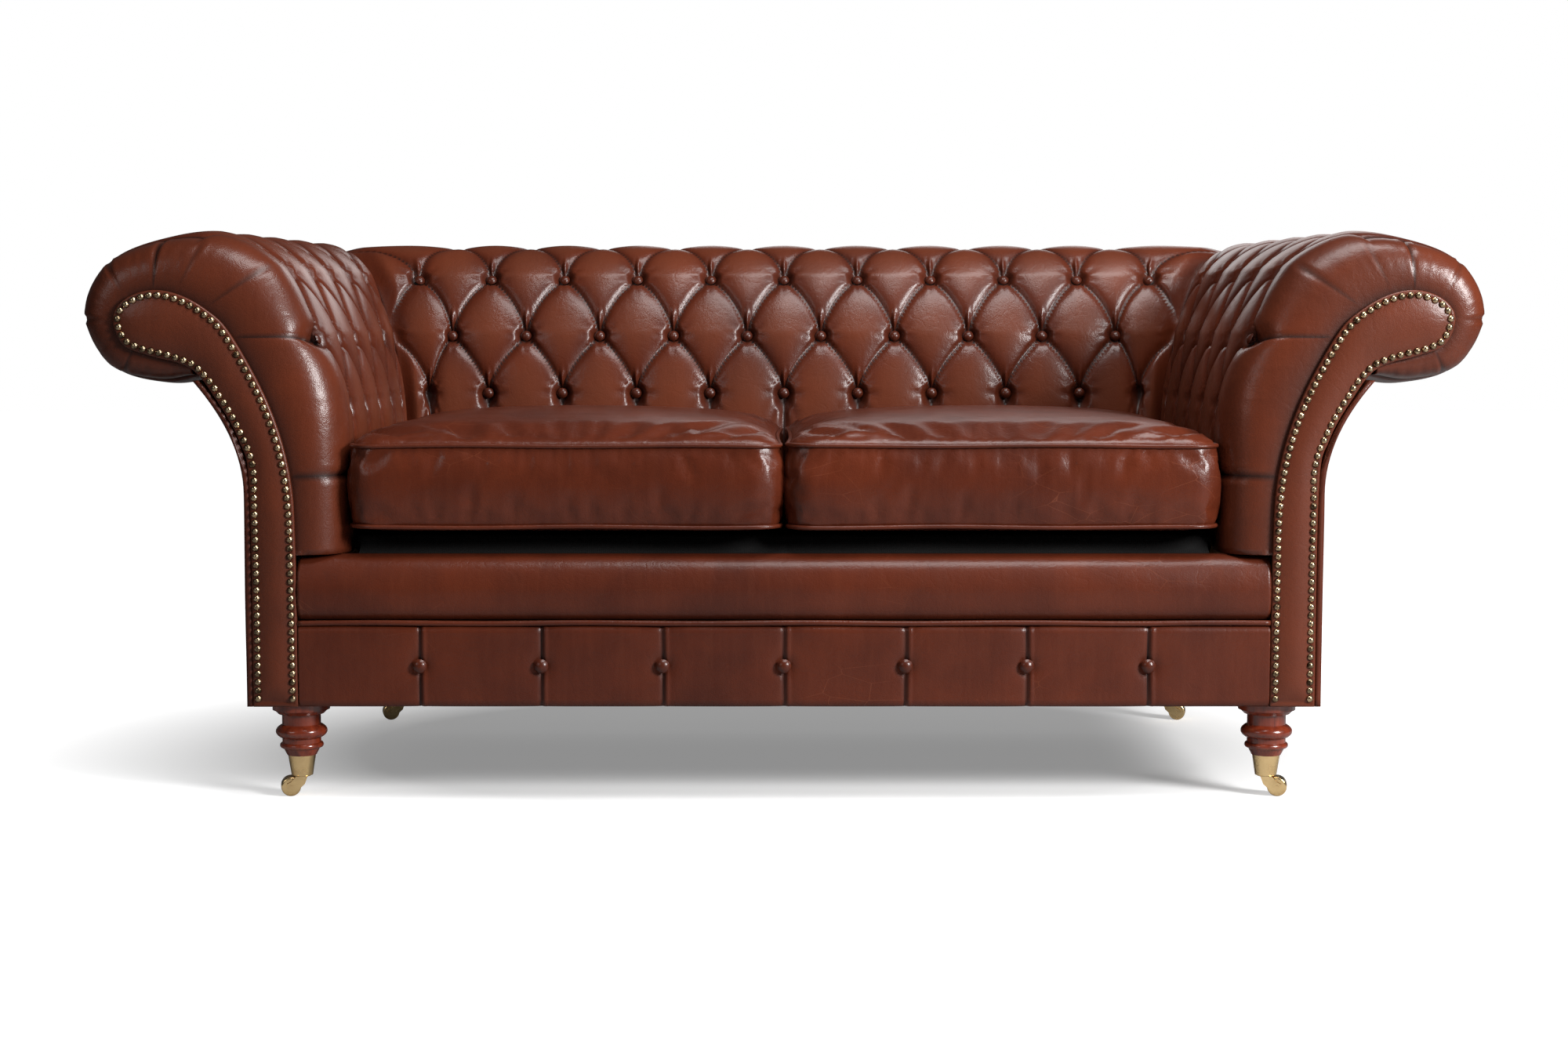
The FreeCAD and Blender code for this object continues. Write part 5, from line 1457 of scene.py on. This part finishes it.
@dataclass(frozen=True)
class SeatCushion:
    """One loose cushion: a crowned cover of leather with two piped seams, and its foam."""

    side: Side
    width: float = 0.606
    depth: float = 0.612
    front: float = -0.4462
    seam_low: float = 0.383
    seam_high: float = 0.496
    crown: float = 0.040
    belly: float = 0.0145
    corner: float = 0.042
    waist: float = 0.007
    bead: float = 0.0032
    gap: float = 0.004
    bends: tuple[int, ...] = (5, 12, 20, 30, 40, 50, 60, 70, 80, 88)
    wall: Outline = (
        (0.0, 0.0), (0.12, 0.002), (0.3, 0.004), (0.5, 0.005), (0.7, 0.004), (0.88, 0.002), (1.0, 0.0))
    middle_inset: float = 0.012
    bead_share: float = 0.6
    core_inset: float = 0.012
    voxel: float = 0.0075
    seam_hold: tuple[float, float] = (0.004, 0.010)
    steps: int = 16
    most_rise: float = 0.006
    most_bulge: float = 0.0028
    most_sag: float = 0.001

    @property
    def centre(self) -> tuple[float, float]:
        """Middle of the cushion in plan."""
        return self.side.value * (self.gap + self.width) / 2, self.front + self.depth / 2

    @property
    def body(self) -> str:
        """The body that the cushion rides on."""
        return f"cushion_{self.side.word}"

    def plan(self, inset: float, points: int, waist_share: float = 1.0) -> np.ndarray:
        """Closed outline in plan, with rounded corners and drawn-in sides.

        Args:
            inset: how far inside the full outline it lies.
            points: number of points round it.
            waist_share: how much of the waist it has.

        Returns:
            (points, 2) array about the cushion's middle.
        """
        half = np.array([self.width / 2 - inset, self.depth / 2 - inset])
        radius = min(self.corner + 0.35 * inset, 0.9 * half.min())
        bends = points // 12
        straights = points // 4 - bends
        arcs = []
        for quarter, signs in enumerate(((1, 1), (-1, 1), (-1, -1), (1, -1))):
            turn = (quarter + (np.arange(bends) + 0.5) / bends) * np.pi / 2
            bend = radius * np.stack([np.cos(turn), np.sin(turn)], axis=1)
            arcs.append(np.array(signs) * (half - radius) + bend)
        pieces = []
        for arc, following in zip(arcs, arcs[1:] + arcs[:1]):
            share = (np.arange(1, straights + 1) / (straights + 1))[:, None]
            pieces += [arc, arc[-1] * (1 - share) + following[0] * share]
        outline = np.concatenate(pieces) / half
        pull = self.waist * waist_share * (1 - outline[:, ::-1] ** 2) * np.abs(outline) ** 3
        return outline * (half - pull)

    def rings(self) -> list[tuple[float, float, float]]:
        """Inset, height and share of the waist of each ring, from the belly to the crown."""
        reach = self.width / 2 - self.middle_inset
        turns = [math.radians(bend) for bend in self.bends]
        curve = [(reach * (1 - math.cos(turn)), math.sin(turn)) for turn in turns]
        belly = [(inset, self.seam_low - self.belly * rise, 1.0) for inset, rise in reversed(curve)]
        crown = [(inset, self.seam_high + self.crown * rise, 1.0) for inset, rise in curve]
        height = self.seam_high - self.seam_low
        wall = [(-swell, self.seam_low + share * height, 1 - 0.4 * min(swell / 0.005, 1))
                for share, swell in self.wall]
        return belly + wall + crown

    def form(self, inset: float = 0.0, around: int = 240) -> bmesh.types.BMesh:
        """The crowned closed form, stacked from its belly to its crown.

        Args:
            inset: how far inside the cover it lies.
            around: number of points round it.

        Returns:
            The bmesh.
        """
        middle_x, middle_y = self.centre
        centre_z = (self.seam_low + self.seam_high) / 2
        sections = []
        for ring_inset, z, waist_share in self.rings():
            plan = self.plan(ring_inset + self.bead * self.bead_share + inset, around, waist_share)
            level = centre_z + (z - centre_z) * (1 - inset / 0.06)
            sections.append(grid_of(middle_x + plan[:, 0], middle_y + plan[:, 1], level))
        return loft(np.array(sections))

    def stuffed(self, form: bmesh.types.BMesh) -> bpy.types.Mesh:
        """Swells the cover under pressure, with its seams held.

        Args:
            form: the closed form, which is used up.

        Returns:
            The swollen mesh.
        """
        trial = placed("stuffed_cover", mesh_of("stuffed_cover", form))
        remesh = trial.modifiers.new("even", "REMESH")
        remesh.mode, remesh.voxel_size = "VOXEL", self.voxel
        even = evaluated_mesh(trial)
        trial.modifiers.clear()
        trial.data = even
        held = trial.vertex_groups.new(name="seams")
        start = np.array([v.co for v in even.vertices])
        for index, (_, _, z) in enumerate(start):
            nearness = min(abs(z - self.seam_low), abs(z - self.seam_high))
            slack = max(nearness - self.seam_hold[0], 0.0) / self.seam_hold[1]
            held.add([index], max(0.0, 1.0 - slack), "REPLACE")
        cloth = trial.modifiers.new("stuffing", "CLOTH")
        for key, content in STUFFING.items():
            setattr(cloth.settings, key, content)
        cloth.settings.vertex_group_mass = held.name
        cloth.settings.effector_weights.gravity = 0.0
        cloth.collision_settings.use_collision = False
        cloth.collision_settings.use_self_collision = False
        scene = bpy.context.scene
        for step in range(1, self.steps + 1):
            scene.frame_set(step)
        swollen = evaluated_mesh(trial)
        scene.frame_set(1)
        move = np.array([v.co for v in swollen.vertices]) - start
        length = np.linalg.norm(move, axis=1)[:, None]
        height = start[:, 2:3]
        most = np.where(height > self.seam_high, self.most_rise,
                        np.where(height < self.seam_low, self.most_sag, self.most_bulge))
        move *= np.minimum(1.0, most / np.maximum(length, TINY))
        swollen.vertices.foreach_set("co", (start + move).ravel())
        bpy.data.objects.remove(trial)
        return swollen

    def seam_path(self, z: float) -> np.ndarray:
        """Centre line of the piping at a seam."""
        plan = self.plan(0.0008, 300)
        middle_x, middle_y = self.centre
        sag = 0.0012 * np.sin(plan[:, 0] * 19 + z * 30 + self.side.value) * np.cos(plan[:, 1] * 13)
        return np.stack([middle_x + plan[:, 0], middle_y + plan[:, 1], z + sag], axis=1)

    def build(self) -> list[bpy.types.Object]:
        """Makes the cover, its two cords of piping and the foam inside."""
        word = self.side.word
        shape: bmesh.types.BMesh | bpy.types.Mesh = self.form()
        shape = self.stuffed(shape)
        cover = seat_piece(f"seat_cover_{word}", shape, SEAT_HIDE, self.body,
                           [f"cushion_cover_{word}"])
        for face in cover.data.polygons:
            face.use_smooth = True
        made = [cover]
        for place, z in (("upper", self.seam_high), ("lower", self.seam_low)):
            cord = tube_along(self.seam_path(z), self.bead, True, 8)
            made.append(seat_piece(f"seat_piping_{place}_{word}", cord, TRIM_HIDE, self.body))
        core = seat_piece(f"seat_foam_{word}", self.form(self.core_inset, 120), FOAM, self.body,
                          [f"cushion_core_{word}"])
        made.append(core)
        return made


@dataclass(frozen=True)
class SeatDeck:
    """What lies under the cushions and the frame: the deck pad, platform cloth, hessian and dust cloth."""

    rounding: float = 0.35
    dust_sag: float = 0.004
    flap_thickness: float = 0.0012
    flap_inset: float = 0.008
    flap_sag: float = 0.003
    under_pad: tuple[float, float] = (0.004, 0.0035)
    under_lip: tuple[float, float] = (0.001, 0.003)

    def slab(self, node: str) -> bmesh.types.BMesh:
        """A block of a node's size with rounded edges."""
        low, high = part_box(node)
        size = high - low
        slab = bmesh.new()
        bmesh.ops.create_cube(slab, size=1.0)
        bmesh.ops.scale(slab, vec=size, verts=slab.verts)
        bmesh.ops.translate(slab, vec=(low + high) / 2, verts=slab.verts)
        bmesh.ops.bevel(slab, geom=slab.edges[:], offset=min(size) * self.rounding, segments=2, profile=0.5,
                        affect="EDGES", material=-1)
        bmesh.ops.subdivide_edges(slab, edges=[e for e in slab.edges if e.calc_length() > 0.2], cuts=14,
                                  use_grid_fill=True)
        smooth_faces(slab)
        return slab

    def stretched(self, node: str, name: str, finish: Finish, slot: Slot, sag: float) -> bpy.types.Object:
        """A cloth stretched flat where its node is.

        Args:
            node: the node that it stands for.
            name: its own name.
            finish: what it is woven of.
            slot: the record's slot of that cloth; not used.
            sag: how far its middle hangs.

        Returns:
            The sheet.
        """
        low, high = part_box(node)
        cloth = bmesh.new()
        bmesh.ops.create_grid(cloth, x_segments=48, y_segments=26, size=1.0)
        size = high - low
        for vertex in cloth.verts:
            x, y = vertex.co.x, vertex.co.y
            hang = sag * (1 - x * x) * (1 - y * y)
            vertex.co = Vector(((low.x + high.x) / 2 + x * size.x / 2, (low.y + high.y) / 2 + y * size.y / 2,
                                (low.z + high.z) / 2 - hang))
        piece = seat_piece(name, cloth, finish, stands_for=[node])
        thicken(piece, size.z * 0.9)
        return piece

    def flap(self) -> bpy.types.Object:
        """The strip of platform cloth from the deck pad forward to the seat lip."""
        low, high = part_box("seat_deck_pad")
        back = np.array([low.y + self.under_pad[0], high.z - self.under_pad[1]])
        front = np.array([FrontRail.heel + self.under_lip[0], FrontRail.lip_top - self.under_lip[1]])
        half = high.x - self.flap_inset
        strip = bmesh.new()
        bmesh.ops.create_grid(strip, x_segments=60, y_segments=8, size=1.0)
        for vertex in strip.verts:
            share = (vertex.co.y + 1) / 2
            y, z = front * (1 - share) + back * share
            sag = self.flap_sag * math.sin(math.pi * share) * (1 + 0.3 * math.sin(17 * vertex.co.x))
            vertex.co = Vector((vertex.co.x * half, y, z - sag))
        piece = seat_piece("platform_cloth_flap", strip, DECK_CLOTH)
        thicken(piece, self.flap_thickness)
        return piece

    def build(self) -> list[bpy.types.Object]:
        """Makes the pieces."""
        deck = seat_piece("deck_cloth_pad", self.slab("seat_deck_pad"), DECK_CLOTH,
                          stands_for=["seat_deck_pad"])
        return [
            deck,
            self.flap(),
            self.stretched("seat_hessian", "hessian_sheet", HESSIAN, Slot.HESSIAN, 0.0),
            self.stretched("bottom_cloth", "dust_cloth_sheet", DUST_CLOTH, Slot.DECK_CLOTH, self.dust_sag)]


# The frame's own pieces that stay as they are


NODE_FINISHES: tuple[tuple[Sequence[str], Finish], ...] = (
    (("back_buttons", "arm_buttons", "front_rail_buttons"), BUTTON_HIDE),
    (("facing_nails",), NAIL_BRASS),
    (("castor_",), CASTOR_BRASS),
    (("leg_bolts", "seat_springs", "spring_clips"), STEEL),
    (("leg_",), MAHOGANY),
    (("back_webbing",), WEBBING),
)


def dress_nodes() -> None:
    """Gives every node that still shows its finish: the first rule that fits its name, or bare beech."""
    for name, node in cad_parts.items():
        fitting = (finish for starts, finish in NODE_FINISHES if name.startswith(tuple(starts)))
        finish: Finish = next(fitting, BEECH)
        node.data.materials.clear()
        node.data.materials.append(material_of(finish))


# Room, light and camera


@dataclass(frozen=True)
class Lamp:
    """A rectangular softbox, its power in watts."""

    name: str
    place: Place
    aim: Place
    size: tuple[float, float]
    power: float

    def build(self) -> None:
        """Hangs the lamp."""
        light = bpy.data.lights.new(self.name, "AREA")
        light.shape, light.energy = "RECTANGLE", self.power
        light.size, light.size_y = self.size
        lamp = placed(self.name, light)
        lamp.location = self.place
        lamp.rotation_euler = (Vector(self.aim) - Vector(self.place)).to_track_quat("-Z", "Y").to_euler()


LAMPS = (
    Lamp("key_right", (2.7, -2.4, 1.85), (-0.1, 0.0, 0.5), (1.0, 1.1), 205.0),
    Lamp("fill_left", (-2.6, -3.0, 2.0), (0.0, 0.0, 0.4), (1.2, 1.2), 13.0),
    Lamp("top", (0.6, -0.9, 2.9), (0.0, 0.0, 0.4), (2.0, 1.0), 74.0),
    Lamp("rear", (0.8, 3.6, 2.1), (0.0, 0.0, 0.5), (2.6, 1.2), 18.0),
)


@dataclass(frozen=True)
class Studio:
    """A white room with the camera in it."""

    camera_place: Place = (0.0, -3.856, 0.6634)
    pitch_down: float = 4.57
    lens: float = 56.6
    sensor_width: float = 36.0
    floor_size: float = 30.0
    floor_shade: Colour = (0.34, 0.34, 0.34)
    floor_seen: Colour = (0.62, 0.62, 0.62)
    sky_strength: float = 0.05
    glow_ring: tuple[float, float] = (0.66, 1.2)
    glow: tuple[float, float] = (0.27, 1.0)

    def floor(self) -> None:
        """A white floor that keeps the sofa's shadow."""
        ground = bmesh.new()
        bmesh.ops.create_grid(ground, x_segments=2, y_segments=2, size=self.floor_size / 2)
        floor = placed("floor", mesh_of("floor", ground))
        material, wires, shader, place = material_wiring("white_floor")
        set_shader(shader, Roughness=0.9, Specular_IOR_Level=0.1)
        shader.inputs["Emission Color"].default_value = (1.0, 1.0, 1.0, 1.0)
        from_middle = wires.stretched(place, (1.0, 1.3, 1.0))
        away = wires.add("ShaderNodeVectorMath", {0: from_middle}, operation="LENGTH").outputs["Value"]
        camera_ray = wires.add("ShaderNodeLightPath").outputs["Is Camera Ray"]
        glow = wires.math("MULTIPLY", camera_ray, wires.spread(away, *self.glow_ring, *self.glow))
        shade = wires.mix(camera_ray, opaque(self.floor_shade), opaque(self.floor_seen))
        wires.feed(shader, Base_Color=shade, Emission_Strength=glow)
        floor.data.materials.append(material)

    def sky(self) -> None:
        """A white world that the camera sees at full strength."""
        world = bpy.data.worlds.new("studio")
        bpy.context.scene.world = world
        world.use_nodes = True
        wires = Wiring(world.node_tree)
        background = world.node_tree.nodes["Background"]
        rays = wires.add("ShaderNodeLightPath").outputs
        seen = wires.math("MAXIMUM", rays["Is Camera Ray"], rays["Is Transmission Ray"])
        background.inputs["Color"].default_value = (1.0, 1.0, 1.0, 1.0)
        wires.feed(background, Strength=wires.spread(seen, 0.0, 1.0, self.sky_strength, 1.0))

    def camera(self) -> None:
        """The camera, at the height and distance of the photograph's."""
        data = bpy.data.cameras.new("camera")
        data.lens, data.sensor_width = self.lens, self.sensor_width
        camera = placed("camera", data)
        camera.location = self.camera_place
        camera.rotation_euler = (math.radians(90 - self.pitch_down), 0.0, 0.0)
        bpy.context.scene.camera = camera

    def build(self) -> None:
        """Sets up the whole studio."""
        self.floor()
        self.sky()
        for lamp in LAMPS:
            lamp.build()
        self.camera()
        bpy.context.scene.view_settings.view_transform = "Standard"


def main() -> None:
    """Builds the sofa's looks piece by piece."""
    logging.basicConfig(level=logging.INFO, format="%(message)s")
    Studio().build()
    dress_nodes()
    TuftedBack().build()
    for side in Side:
        TuftedArm(side).build()
        ScrollFacing(side).build()
    OutsidePanels().build()
    FrontRail().build()
    for side in Side:
        SeatCushion(side).build()
    SeatDeck().build()


if __name__ == "__main__":
    main()
